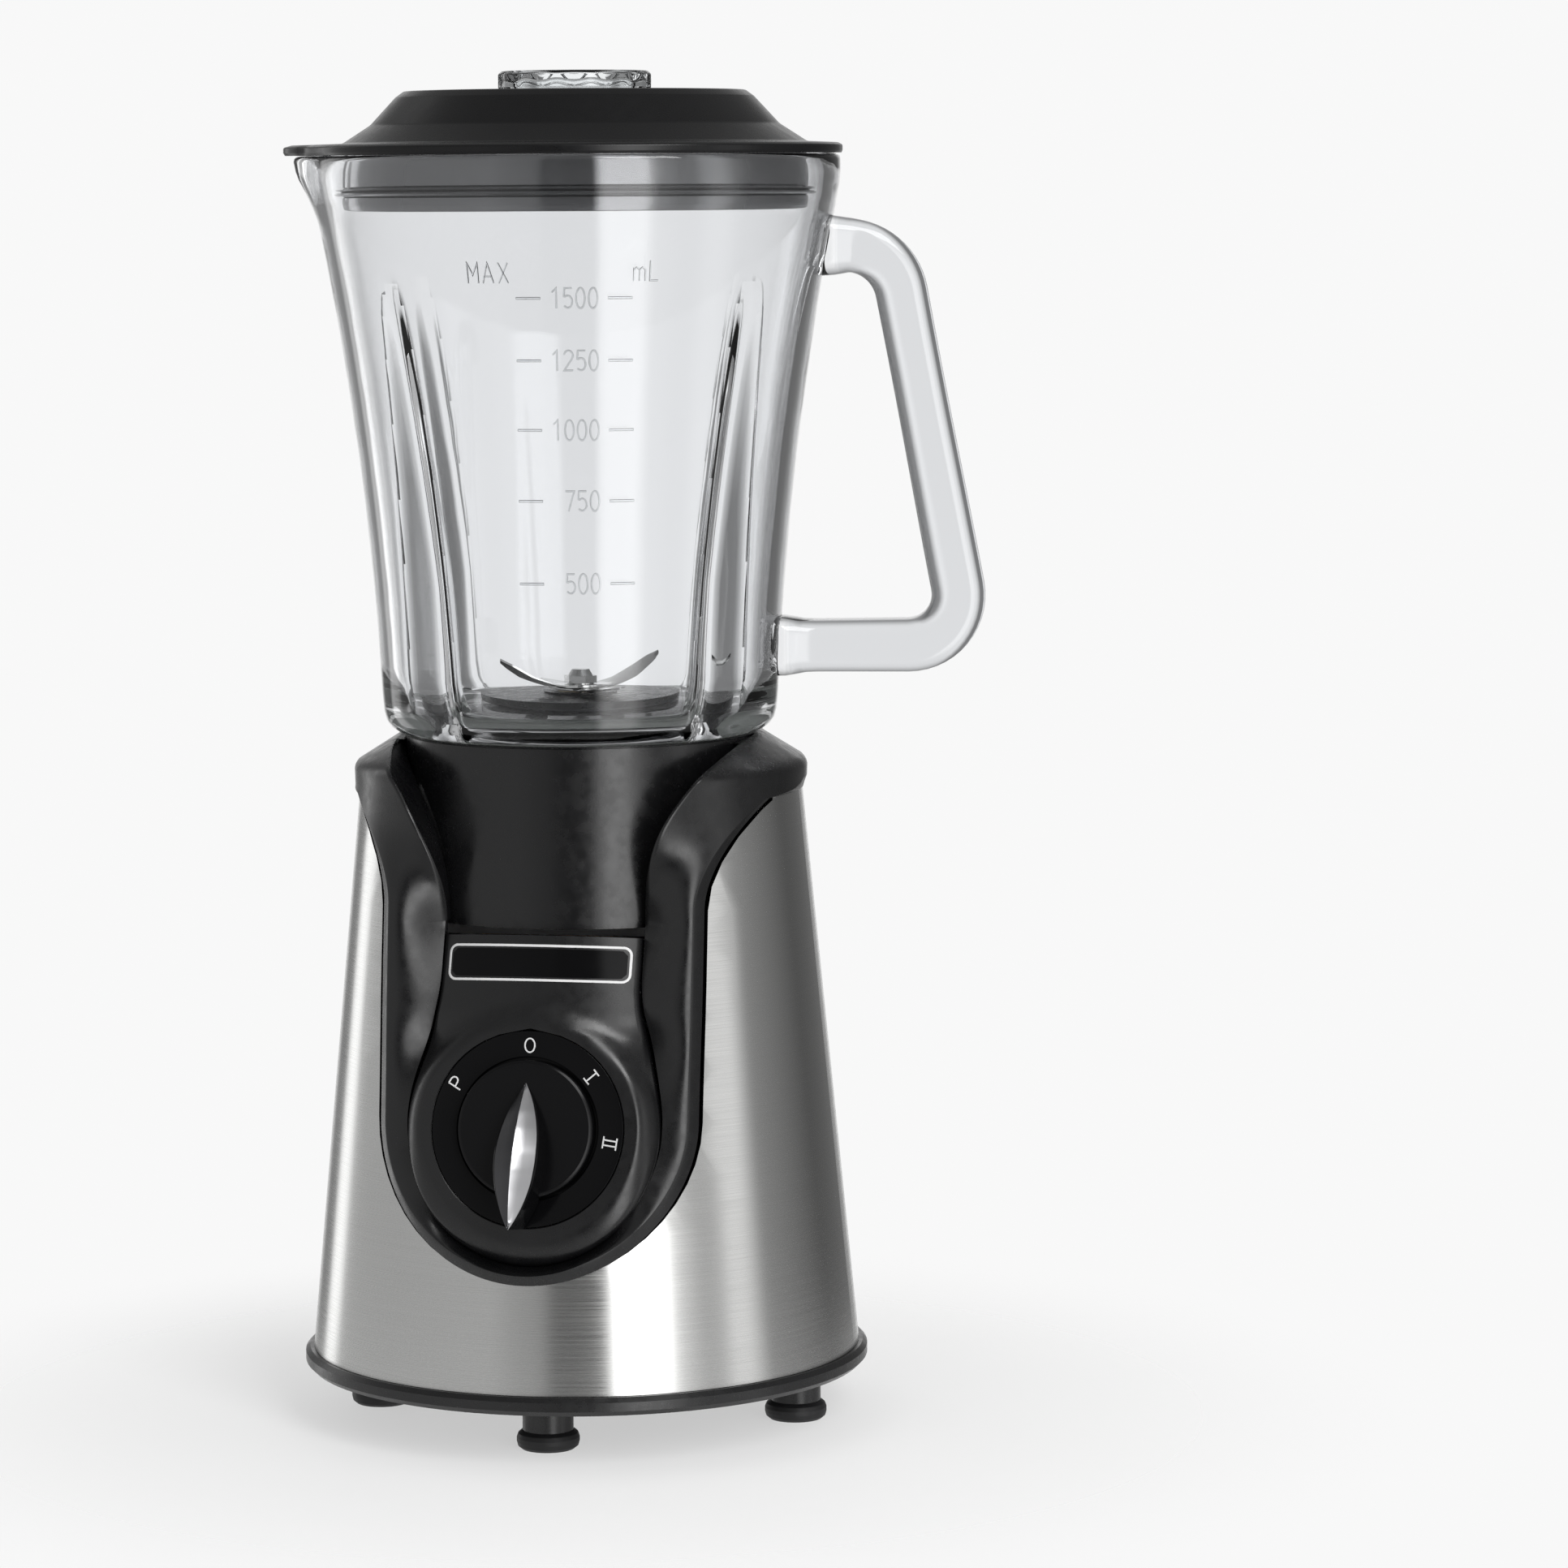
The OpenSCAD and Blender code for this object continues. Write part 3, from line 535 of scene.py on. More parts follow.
def fascia_skin():
    """The fascia round the dial, from the dial's edge to its own rounded edge and back."""
    lines = []
    for a in np.arange(-90, 0, 3.0):
        c, s = math.cos(math.radians(a)), math.sin(math.radians(a))
        lines.append([(0, 0), (BULB_R * c, BULB_DROP * s)])
    for z in np.linspace(DIAL_Z, STEP_Z - 1.0, 30):
        y = (z - DIAL_Z) / math.cos(TILT)
        lines.append([(0, y), (float(bulb(z)), y)])
    rows = []
    for (x0, y0), (x1, y1) in lines:
        by_dial = y0 < DIAL_R
        start = 0.0
        direction = np.array([x1 - x0, y1 - y0])
        length = float(np.linalg.norm(direction))
        direction = direction / length
        if by_dial:
            start = DIAL_R + 0.05 if y0 == 0 else math.sqrt(max(0, (DIAL_R + 0.05) ** 2 - y0 ** 2))
        steps = [start, start + 0.25] + list(np.linspace(start + 0.25, length - 1.5, 16)[1:])
        steps += [length - e for e in (1.1, 0.75, 0.45, 0.2, 0.05)]
        first = (x0 + direction[0] * start, y0 + direction[1] * start)
        row = [(*first, -2.9 if by_dial else fascia_z(*first))]
        for i, d in enumerate(steps):
            x, y = x0 + direction[0] * d, y0 + direction[1] * d
            z = fascia_z(x, y)
            if i == 0 and by_dial:
                z -= 0.25
            e = length - d
            if e < EDGE_R:
                z -= EDGE_R * (1 - math.sqrt(max(0.0, 1 - (1 - e / EDGE_R) ** 2)))
            row.append((x, y, z))
        x, y, z = row[-1]
        rows.append(row + [(x, y, z - q) for q in (2.0, 4.5, 7.5)])
    last_row = rows[-1]
    for y_step, drop in ((0.125, 0.5), (0.25, 1.6), (0.25, 9.0)):
        rows.append([(x, y + y_step, z - drop) for x, y, z in last_row])
    verts, faces = [], []
    add_grid(verts, faces, [at_dial(r) for r in rows])
    add_grid(verts, faces, [at_dial([(-x, y, z) for x, y, z in r]) for r in rows])
    return verts, faces


v, f = housing_skin()
make("housing_shell", v, f, "base", BLACK, ["housing"], sharp=24)
v, f = fascia_skin()
make("fascia_bulb", v, f, "base", BLACK, ["control_fascia"], sharp=40)

# dial: flat ring, its thin lip and the well the knob sits in
ring_profile = fillet([
    (20.75, -4.3, 0), (20.75, -2.1, 0.25), (28.2, -2.1, 0.15), (28.2, -2.9, 0), (21.4, -2.9, 0),
    (21.4, -4.3, 0), (2.0, -4.35, 0), (2.0, -4.3, 0)])
v, f = lathe(ring_profile, 128)
make("dial_face", at_dial(v), f, "base", DIAL, ["dial_ring"], sharp=30)


CROWN = 0.62  # a stroke's width on top as a share of its width below


def ribbon(points, width, lift, thick, place, closed=False):
    """A flat stroke along 2-D points, width wide, as a closed bar; place maps (x, y, z)."""
    pts = [np.array(p, float) for p in points]
    n = len(pts)
    rows = []
    for i in range(n):
        prev = pts[i - 1] if (i > 0 or closed) else pts[i]
        nxt = pts[(i + 1) % n] if (i < n - 1 or closed) else pts[i]
        d1 = pts[i] - prev
        d2 = nxt - pts[i]
        l1, l2 = np.linalg.norm(d1), np.linalg.norm(d2)
        d1 = d1 / l1 if l1 > 1e-9 else d2 / l2
        d2 = d2 / l2 if l2 > 1e-9 else d1
        t = d1 + d2
        t = t / (np.linalg.norm(t) + 1e-9)
        nrm = np.array([-t[1], t[0]])
        k = 1 / max(0.5, float(nrm @ np.array([-d1[1], d1[0]])))
        w = width / 2 * k
        bar = ((1, 0), (CROWN, thick), (-CROWN, thick), (-1, 0))
        rows.append([(*(pts[i] + nrm * w * q), lift + up) for q, up in bar])
    verts, faces = [], []
    add_grid(verts, faces, [place(r) for r in rows], close_rows=closed, close_cols=True)
    if not closed:
        m = 4 * n
        faces += [(3, 2, 1, 0), (m - 4, m - 3, m - 2, m - 1)]
    return verts, faces


def strokes(name, items, body, mat):
    """Joins ribbons into one piece."""
    verts, faces = [], []
    for more_verts, more_faces in items:
        faces += [tuple(i + len(verts) for i in f) for f in more_faces]
        verts += more_verts
    return make(name, verts, faces, body, mat, weld=0.0001)


def dial_mark(shape, angle, radius):
    """Strokes of one mark, upright at its place on the ring; angle clockwise from the top."""
    a = math.radians(angle)
    c, s = math.cos(a), math.sin(a)

    def put(row):
        return at_dial([(radius * s + x * c + y * s, radius * c - x * s + y * c, z) for x, y, z in row])

    return [ribbon(points, 0.5, -2.12, 0.07, put, closed) for points, closed in shape]


def ellipse(cx, cy, rx, ry, n=28, a0=0, a1=360):
    return [(cx + rx * math.cos(math.radians(a0 + (a1 - a0) * k / n)),
             cy + ry * math.sin(math.radians(a0 + (a1 - a0) * k / n))) for k in range(n + (a1 - a0 < 360))]


MARK_O = [(ellipse(0, 0, 1.45, 2.0), True)]
MARK_P = [([(-1.2, -2.1), (-1.2, 2.0)], False),
          ([(-1.2, 1.9)] + ellipse(0.15, 0.85, 1.1, 1.05, 10, 90, -90) + [(-1.2, -0.2)], False)]
MARK_I = [([(0, -1.9), (0, 1.9)], False), ([(-1.2, 1.95), (1.2, 1.95)], False),
          ([(-1.2, -1.95), (1.2, -1.95)], False)]
MARK_II = [([(-0.75, -1.9), (-0.75, 1.9)], False), ([(0.75, -1.9), (0.75, 1.9)], False),
           ([(-1.75, 1.95), (1.75, 1.95)], False), ([(-1.75, -1.95), (1.75, -1.95)], False)]
marks = []
for shape, angle, radius in ((MARK_O, 0, 24.1), (MARK_P, -59, 25.0), (MARK_I, 50, 24.0), (MARK_II, 98, 24.6)):
    marks += dial_mark(shape, angle, radius)
strokes("dial_marks", marks, "base", WHITE)


def round_rect(hw, hh, r, n=6):
    """Outline with rounded corners; hw and hh are half the width and height."""
    out = []
    for sx, sy, start in ((1, 1, 0), (-1, 1, 90), (-1, -1, 180), (1, -1, 270)):
        for k in range(n + 1):
            a = math.radians(start + 90 * k / n)
            out.append((sx * (hw - r) + r * math.cos(a), sy * (hh - r) + r * math.sin(a)))
    return out


BADGE_Y = 48.0  # the badge's middle up the fascia from the dial's
BADGE_HALF, BADGE_STEPS = 26.0, 40


def badge_place(row):
    """(x, y) about the badge's middle to the fascia's surface there, z proud of it."""
    return at_dial([(x, y + BADGE_Y, fascia_z(x, y + BADGE_Y) + z) for x, y, z in row])


def dense(points, step=1.2, closed=True):
    """The same path with points at most about two steps apart."""
    out = []
    n = len(points)
    for i in range(n if closed else n - 1):
        a, b = np.array(points[i]), np.array(points[(i + 1) % n])
        k = max(1, int(np.linalg.norm(b - a) / step))
        out += [tuple(a + (b - a) * j / k) for j in range(k)]
    if not closed:
        out.append(tuple(points[-1]))
    return out


outline = dense(round_rect(26.9, 5.0, 2.2))
strokes("badge_outline", [ribbon(outline, 0.85, -0.05, 0.1, badge_place, True)], "base", WHITE)
rows = []
for k in range(BADGE_STEPS + 1):
    x = -BADGE_HALF + 2 * BADGE_HALF * k / BADGE_STEPS
    edge = 4.1 - (max(0, abs(x) - 24.2) / 1.8) ** 2 * 1.4
    section = ((-edge, -0.1), (-edge, 0.02), (-edge / 2, 0.03), (0, 0.03), (edge / 2, 0.03), (edge, 0.02),
               (edge, -0.1))
    rows.append(badge_place([(x, y, z) for y, z in section]))
v, f = [], []
add_grid(v, f, rows, close_cols=True)
f += end_caps(len(rows[0]), len(v))
make("badge_blank", v, f, "base", DIAL, ["badge_plate"], sharp=40)

# ------------------------------------------------------------------ knob

disc = fillet([(0, -3.9, 0), (19.6, -3.9, 0.3), (19.9, -0.6, 0), (19.9, 0.9, 0.7), (18.9, 1.45, 0.5),
               (0, 1.5, 0)])
v, f = lathe(disc, 128, closed=False)
make("knob_disc", at_dial(v), f, "knob", KNOB, ["knob"], sharp=35)

# The grip is a leaf between two arcs of radius LEAF_R, whose centres lie LEAF_X to either side.
LEAF_TOP, LEAF_END, LEAF_R, LEAF_X, LEAF_MID = 13.2, -28.6, 37.7, 31.2, -7.7
# height of its ridge along the leaf
CREST_Y = [-28.6, -24, -18, -12, -6, 0, 5, 9, 12, 13.2]
CREST_Z = [18.15, 18.55, 18.28, 17.35, 15.4, 12.2, 8.6, 5.2, 2.6, 1.6]


def leaf_half(y):
    return max(0.0, math.sqrt(max(0.0, LEAF_R ** 2 - (y - LEAF_MID) ** 2)) - LEAF_X)


def fin_rows(kind):
    """Cross sections of the fin's black body or of its silver roof, from the low end up."""
    rows = []
    for t in np.linspace(0, 1, 61):
        w = 0.5 - 0.5 * math.cos(math.pi * t)
        y = LEAF_END + (LEAF_TOP - LEAF_END) * w
        h = leaf_half(y)
        ht = h * 0.94
        crest = float(np.interp(y, CREST_Y, CREST_Z))
        side_z = max(-0.5, crest - min(4.4, h * 0.75))
        base = -0.7 if abs(y) > 19 else 0.6
        if kind == "body":
            flank = [(h, base), (h, min(side_z - 0.4, base + 2)), (h * 0.99, side_z - 0.5),
                     (ht, side_z - 0.12), (ht * 0.9, side_z)]
            middle = (0, side_z + 0.05)
        else:
            half_up = side_z + 0.25 + (crest - side_z) * 0.50
            flank = [(ht * 0.96, side_z - 0.05), (ht * 0.96, side_z + 0.25), (ht * 0.5, half_up),
                     (ht * 0.06, crest - 0.12)]
            middle = (0, crest)
        points = [(-x, z) for x, z in flank] + [middle] + flank[::-1]
        rows.append(at_dial([(x, y, z) for x, z in points]))
    return rows


for kind, name, slot_name, mat, gone in (("body", "knob_fin", "knob_black", KNOB, []),
                                         ("roof", "knob_grip_face", "knob_silver", GRIP, ["knob_grip"])):
    rows = fin_rows(kind)
    v, f = [], []
    add_grid(v, f, rows, close_cols=True)
    f += end_caps(len(rows[0]), len(v))
    piece = make(name, v, f, "knob", mat, gone, sharp=24)
    if kind == "roof":
        piece.data.materials.append(SILVER_PAINTED_SHADE)  # the roof's left side gets the darker copy of its silver: painted shade
        for q in piece.data.polygons:
            if q.center.x < -0.0001 or q.normal.x < -0.05:
                q.material_index = 1

# ------------------------------------------------------------------ jar

FLOOR_Z = 211.5  # the jar's floor inside
WALL_LOW_Z, WALL_HIGH_Z = 219, 362
SPOUT_LOW_Z = 350
WALL, PLUG_IN = 4.6, 2.4  # wall thickness, and how far the handle's root goes into it
RIB_TOP_Z, RIB_DEPTH, RIB_ARC_R = 343, 8.8, 60
JAR_STEPS = 288
RIM_R, SPOUT_OUT, SPOUT_HALF = 76, 5.0, 10.5
SPOUT_ANGLE = math.pi


def glass_r(z):
    """Outer radius of the jar's wall."""
    t = (z - WALL_LOW_Z) / 147
    return 59 + 7.2 * t + 11.5 * t * t


def turn_diff(a, b):
    """Signed angle from b to a, within half a turn."""
    return (a - b + math.pi) % (2 * math.pi) - math.pi


def spout_out(a, z):
    """How far the lip stands out of the rim at jar angle a."""
    d = abs(turn_diff(a, SPOUT_ANGLE)) * RIM_R
    rise = float(smooth((z - 352) / 25))
    return SPOUT_OUT * rise ** 1.6 * math.exp(-(d / SPOUT_HALF) ** 2)


RIBS = [math.radians(q) for q in (-42, 42, 138, 222)]


def rib_in(a, z):
    """How far the four stirring ribs stand in from the wall."""
    if z > RIB_TOP_Z:
        return 0.0
    down = (RIB_TOP_Z - z) / 130
    depth = RIB_DEPTH * min(1.0, down * 1.45) ** 0.9
    width = 3.0 + 3.8 * min(1.0, down)
    best = 0.0
    for q in RIBS:
        d = abs(turn_diff(a, q)) * RIB_ARC_R
        best = max(best, math.exp(-abs(d / width) ** 2.4))
    return depth * best


def jar_mesh():
    """Glass body: the outer profile up, the inner one down to the hole for the blade unit."""
    outer = [(50.2, DECK_Z), (52.0, DECK_Z + 0.05), (54.6, DECK_Z + 0.9), (56.6, DECK_Z + 2.3),
             (57.9, DECK_Z + 4.3), (58.5, DECK_Z + 6.8), (58.75, DECK_Z + 9.5)]
    outer += [(glass_r(z), z) for z in np.linspace(WALL_LOW_Z, WALL_HIGH_Z, 40)]
    outer += [(77.5, 366), (77.95, 368.2), (78.3, 370.2), (78.4, 372.5), (78.4, 375.4), (78.15, 376.3),
              (77.5, 376.85), (76.6, RIM_Z)]
    inner = [(75.4, RIM_Z), (74.6, 376.8), (74.1, 376.2), (73.9, 375), (73.8, 372), (73.4, 369.5)]
    inner += [(glass_r(z) - WALL, z) for z in np.linspace(366, 224, 46)]
    inner += [(glass_r(WALL_LOW_Z) - 5.2, 220), (52.9, 217), (51.8, 214.6), (50.0, 212.9), (47.4, 211.9)]
    inner += [(r, FLOOR_Z) for r in (44.5, 40, 32, 24.2)]
    inner += [(24.0, FLOOR_Z - 0.3), (24.0, DECK_Z + 0.9), (24.3, DECK_Z + 0.65), (42, DECK_Z + 0.6),
              (42.6, DECK_Z + 0.3), (43.2, DECK_Z)]
    rows = []
    for k in range(JAR_STEPS):
        a = 2 * math.pi * k / JAR_STEPS
        row = []
        for i, (r, z) in enumerate(outer + inner):
            inside = i >= len(outer)
            if z > SPOUT_LOW_Z:
                r = r + spout_out(a, z) * (0.97 if inside else 1)
            elif inside and r > 43 and z >= FLOOR_Z:
                r = r - rib_in(a, max(z, WALL_LOW_Z)) * float(smooth((r - 43.5) / 8))
            row.append((r * math.cos(a), r * math.sin(a), z))
        rows.append(row)
    verts, faces = [], []
    add_grid(verts, faces, rows, close_rows=True, close_cols=True)
    return turned(verts, JAR_TURN), faces


def arc_path(points):
    """Corner-rounded 2-D path with its points close together."""
    return dense([tuple(p) for p in fillet(points, 14)], 3.0, closed=False)


def handle_mesh():
    """Glass bar swept along its centre line in the jar's radial plane, wider where it meets the wall."""
    path = arc_path([(64.0, 350.0, 0), (93.6, 350.0, 17), (115.8, 231.3, 15), (52.0, 231.3, 0)])
    lengths = [0.0]
    for p, q in zip(path, path[1:]):
        lengths.append(lengths[-1] + math.dist(p, q))
    rows = []
    for i, p in enumerate(path):
        along = np.array(path[min(len(path) - 1, i + 1)]) - np.array(path[max(0, i - 1)])
        along = along / np.linalg.norm(along)
        across = np.array([-along[1], along[0]])
        s, e = lengths[i], lengths[-1] - lengths[i]
        flare = 1 + 0.12 * (1 - float(smooth((s - 10) / 9))) + 0.15 * (1 - float(smooth((e - 8) / 9)))
        half_w = 8.0 * (0.98 + 0.02 * math.cos(s / 20)) * flare
        half_d = 8.6 * (1 + (flare - 1) * 1.2)
        row = []
        for x, y in round_rect(half_d, half_w, 4.6 * flare, 5):
            q = np.array(p) + across * y
            row.append((q[0], x, q[1]))
        rows.append(row)
    verts, faces = [], []
    add_grid(verts, faces, rows, close_cols=True)
    faces += end_caps(len(rows[0]), len(verts))
    return turned(verts, JAR_TURN), faces


v, f = jar_mesh()
jar = make("jar_glass_body", v, f, "jar", GLASS, ["glass_jar"], sharp=60)
v, f = handle_mesh()
handle = make("jar_handle_bar", v, f, None, GLASS, sharp=60)
# keep only the handle's part outside the inner wall: a plug fills the cavity side
plug_profile = [(0, 215.0), (50, 215.0)]
plug_profile += [(glass_r(z) - PLUG_IN, z) for z in np.linspace(WALL_LOW_Z, WALL_HIGH_Z, 24)]
plug_profile += [(0, WALL_HIGH_Z)]
v, f = lathe(plug_profile, 96)
plug = make("handle_trim", v, f, None, GLASS, sharp=60)
for ob, operation, tool in ((jar, "UNION", handle), (handle, "DIFFERENCE", plug)):
    cut = ob.modifiers.new("cut", "BOOLEAN")
    cut.operation = operation
    cut.solver = "EXACT"
    cut.object = tool
bpy.context.view_layer.update()
joined = bpy.data.meshes.new_from_object(jar.evaluated_get(bpy.context.evaluated_depsgraph_get()))
jar.modifiers.clear()
jar.data = joined
for mat in (THICK, FOOT, RIBGLASS):
    joined.materials.append(mat)
for p in joined.polygons:
    p.use_smooth = True
    mid = p.center / MM
    r = math.hypot(mid.x, mid.y)
    if r > glass_r(min(mid.z, WALL_HIGH_Z)) + 2.0 and mid.z < WALL_HIGH_Z + 2:
        p.material_index = 1  # handle
    elif p.normal.z < -0.9 and mid.z < DECK_Z + 1.0 and r > 43:
        p.material_index = 2  # foot ring
    elif FLOOR_Z + 4 < mid.z < 346 and r < glass_r(mid.z) - 4.0:
        if rib_in(math.atan2(mid.y, mid.x) - JAR_TURN, mid.z) > 0.25:
            p.material_index = 3  # ribs
joined.set_sharp_from_angle(angle=math.radians(50))
bpy.data.objects.remove(handle)
bpy.data.objects.remove(plug)

# raised scale on the glass: strokes laid on the outer wall
GLYPHS = {
    "0": [(ellipse(0, 0, 1.25, 2.9, 20), True)],
    "1": [([(-0.9, 1.7), (0.3, 2.9), (0.3, -2.9)], False)],
    "2": [(ellipse(0, 1.45, 1.25, 1.45, 12, 170, -40) + [(-1.25, -2.8), (1.35, -2.8)], False)],
    "5": [([(1.2, 2.85), (-0.95, 2.85), (-1.1, 0.5)]
           + ellipse(-0.05, -1.0, 1.3, 1.75, 12, 125, -140), False)],
    "7": [([(-1.2, 2.85), (1.25, 2.85), (-0.4, -2.9)], False)],
    "M": [([(-1.6, -2.9), (-1.6, 2.9), (0, -0.6), (1.6, 2.9), (1.6, -2.9)], False)],
    "A": [([(-1.6, -2.9), (0, 2.9), (1.6, -2.9)], False), ([(-1.0, -1.0), (1.0, -1.0)], False)],
    "X": [([(-1.4, -2.9), (1.4, 2.9)], False), ([(-1.4, 2.9), (1.4, -2.9)], False)],
    "m": [([(-1.7, -2.9), (-1.7, 0.9)], False), ([(-1.7, 0.3), (-0.9, 0.95), (0, 0.4), (0, -2.9)], False),
          ([(0, 0.3), (0.8, 0.95), (1.7, 0.4), (1.7, -2.9)], False)],
    "L": [([(-1.1, 2.9), (-1.1, -2.8), (1.3, -2.8)], False)],
}
SCALE_TURN = -math.pi / 2 + JAR_TURN + 0.028  # where the scale stands round the jar


def on_glass(x_mid, z_mid):
    """Places strokes on the outer wall about a point x_mid along it and z_mid up."""
    def put(row):
        out = []
        for x, y, h in row:
            z = z_mid + y
            r = glass_r(z) + h
            a = SCALE_TURN + (x_mid + x) / glass_r(z_mid)
            out.append((r * math.cos(a), r * math.sin(a), z))
        return out

    return put


def word(text, x_mid, z_mid, pitch=3.6):
    items = []
    for i, ch in enumerate(text):
        x = x_mid + (i - (len(text) - 1) / 2) * pitch
        for pts, closed in GLYPHS[ch]:
            items.append(ribbon(dense(pts, 0.9, closed), 0.5, -0.05, 0.42, on_glass(x, z_mid), closed))
    return items


scale = []
for label, z in (("1500", 336.4), ("1250", 318.6), ("1000", 298.7), ("750", 278.3), ("500", 254.4)):
    scale += word(label, 0.0 if len(label) == 4 else 1.7, z)
    for hand in (-1, 1):
        tick = dense([(hand * 9.6, 0), (hand * 16.6, 0)], 1.2, False)
        scale.append(ribbon(tick, 0.75, -0.05, 0.5, on_glass(0, z), False))
scale += word("MAX", -25.0, 343.6, 4.6)
scale += word("mL", 21.0, 344.0, 4.2)
strokes("jar_scale", scale, "jar", EMBOSS)

# ------------------------------------------------------------------ blades

BLADE_STEPS, BLADE_HALF_T = 44, 0.72
HUB_FLAT, HUB_HALF_W, HUB_R = 8.0, 6.4, 7.6


def blade(name, turn_deg, reach, rise, z0, gone):
    """Two-armed blade, each arm bent up by rise at its tip and ground thin along its leading edge."""
    rows = []
    for k in range(BLADE_STEPS + 1):
        share = -1 + 2 * k / BLADE_STEPS
        d = abs(share) * reach
        sign = 1 if share >= 0 else -1
        bend = max(0.0, (d - HUB_FLAT) / (reach - HUB_FLAT))
        z = z0 + rise * bend ** 1.25
        low_y, high_y = -HUB_HALF_W, HUB_HALF_W
        if d >= HUB_FLAT:
            low_y += 5.0 * bend ** 1.2
            high_y -= 3.2 * bend ** 1.5
        taper = 1 - 0.9 * max(0.0, (bend - 0.86) / 0.14)
        mid = (low_y + high_y) / 2
        low_y, high_y = mid + (low_y - mid) * taper, mid + (high_y - mid) * taper
        thin = 0.12 if bend > 0 else 0.7
        section = ((low_y, 0), (low_y + 1.8 * taper * (bend > 0) + 0.3, BLADE_HALF_T), (high_y, BLADE_HALF_T),
                   (high_y, BLADE_HALF_T - thin * 0.9 - 0.5), (low_y + 1.2 * taper + 0.2, -BLADE_HALF_T))
        rows.append([(share * reach, sign * y, z + up) for y, up in section])
    verts, faces = [], []
    half = BLADE_STEPS // 2
    for arm in (rows[:half + 1], rows[half + 1:]):
        base = len(verts)
        add_grid(verts, faces, arm, close_cols=True)
        faces += [tuple(range(base + 4, base - 1, -1)), tuple(range(len(verts) - 5, len(verts)))]
    hub = fillet([(0, z0 - 0.7, 0), (HUB_R, z0 - 0.7, 0.2), (HUB_R, z0 + BLADE_HALF_T, 0.3), (0, z0 + 0.74, 0)])
    hub_verts, hub_faces = lathe(hub, 48, closed=False)
    faces += [tuple(i + len(verts) for i in q) for q in hub_faces]
    verts = turned(verts + hub_verts, JAR_TURN + math.radians(turn_deg))
    make(name, verts, faces, "blades", BLADE, gone, sharp=25)


blade("blade_lower_pair", 118, 24.6, 2.6, 216.9, ["lower_blades"])
blade("blade_upper_pair", 28, 26.6, 10.0, 218.5, ["upper_blades"])

# ------------------------------------------------------------------ lid and cap

lid_profile = fillet([
    (66.7, RIM_Z + 1.6, 0.5), (66.6, 361.2, 0), (67.0, 361.0, 0), (68.6, 361.2, 0.3), (68.9, 363.0, 0.3),
    (68.9, 365.3, 0.2), (68.2, 365.6, 0), (68.2, 368.4, 0), (68.9, 368.8, 0.2), (68.9, 376.9, 0.4),
    (78.7, RIM_Z + 0.2, 0.2), (79.0, RIM_Z + 1.0, 0.4), (79.0, RIM_Z + 2.6, 0.7), (77.6, RIM_Z + 3.3, 0.6),
    (68.6, RIM_Z + 3.7, 2.5), (60.4, RIM_Z + 9.0, 5.0), (52.9, LID_TOP - 1.9, 2.0), (50.4, LID_TOP - 0.1, 1.6),
    (30, LID_TOP, 0), (23.6, LID_TOP, 0), (21.2, LID_TOP - 0.15, 0.4), (20.5, LID_TOP - 1.0, 0.4),
    (20.5, 373.2, 0.3), (22.3, 373.2, 0.3), (22.3, LID_TOP - 2.7, 0.8), (49.2, LID_TOP - 2.7, 1.5),
    (58.6, RIM_Z + 6.7, 3.0), (66.7, RIM_Z + 1.6, 0.0)], 5)[:-1]
FLANGE_IN, FLANGE_OUT, BEAK, BEAK_HALF = 70, 79, 7.3, 12.5


def lid_wave(a, r, z):
    """The flange's beak over the spout."""
    if r < FLANGE_IN or z < RIM_Z - 0.5:
        return r
    d = abs(turn_diff(a, SPOUT_ANGLE + JAR_TURN)) * FLANGE_OUT
    steep = 1 if d < BEAK_HALF else 1.25
    return r + BEAK * ((r - FLANGE_IN) / 9.0) * math.exp(-(d / BEAK_HALF) ** 2 * steep)


v, f = lathe(lid_profile, 220, closed=True, wave=lid_wave)
lid = make("lid_shell", v, f, "lid", LIDMAT, ["lid"], sharp=33)
lid.data.materials.append(SKIRT)
for p in lid.data.polygons:
    if p.center.z < (RIM_Z + 0.1) * MM and p.center.xy.length > 60 * MM:
        p.material_index = 1  # skirt inside the jar

CAP_TOP = top("filler_cap")
CAP_FLUTES, FLUTE_DEPTH = 14, 0.9
cap_profile = fillet([
    (0, CAP_TOP - 2.2, 0), (17.4, CAP_TOP - 2.2, 1.2), (17.7, 376.2, 0.4), (19.8, 376.2, 0.5),
    (19.9, LID_TOP + 0.15, 0.3), (22.3, LID_TOP + 0.15, 0.5), (22.6, LID_TOP + 0.9, 0.3),
    (22.6, CAP_TOP - 0.9, 0.9), (21.6, CAP_TOP - 0.05, 0.7), (0, CAP_TOP, 0)], 6)


def cap_wave(a, r, z):
    """Flutes round the cap's head."""
    if r < 21.5 or z < LID_TOP:
        return r
    depth = FLUTE_DEPTH * float(smooth((CAP_TOP - 0.8 - z) / 1.2))
    return r - depth * (0.5 + 0.5 * math.cos(CAP_FLUTES * a)) ** 1.4


v, f = lathe(cap_profile, 360, closed=False, wave=cap_wave)
make("cap_fluted", v, f, "cap", CLEAR, ["filler_cap"], sharp=45)

# ------------------------------------------------------------------ stage, lights, camera

# Camera: azimuth of its line of sight from the front, place, tilt and lens (focal length in pixels
# of the square image).
VIEW_AZ = math.radians(11.10)
CAM_DIST, CAM_Z, CAM_SIDE = 1.6505, 0.3713, 0.0606
CAM_TILT, CAM_ROLL = math.radians(5.603), math.radians(0.366)
FOCAL, IMAGE, SHIFT = 6846.8, 1932.0, -0.042
SENSOR = 36.0
UP = Vector((0, 0, 1))


def facing(azimuth):
    """Level unit vectors straight ahead and to the right for a viewer in front."""
    c, s = math.cos(azimuth), math.sin(azimuth)
    return Vector((-s, c, 0)), Vector((c, s, 0))


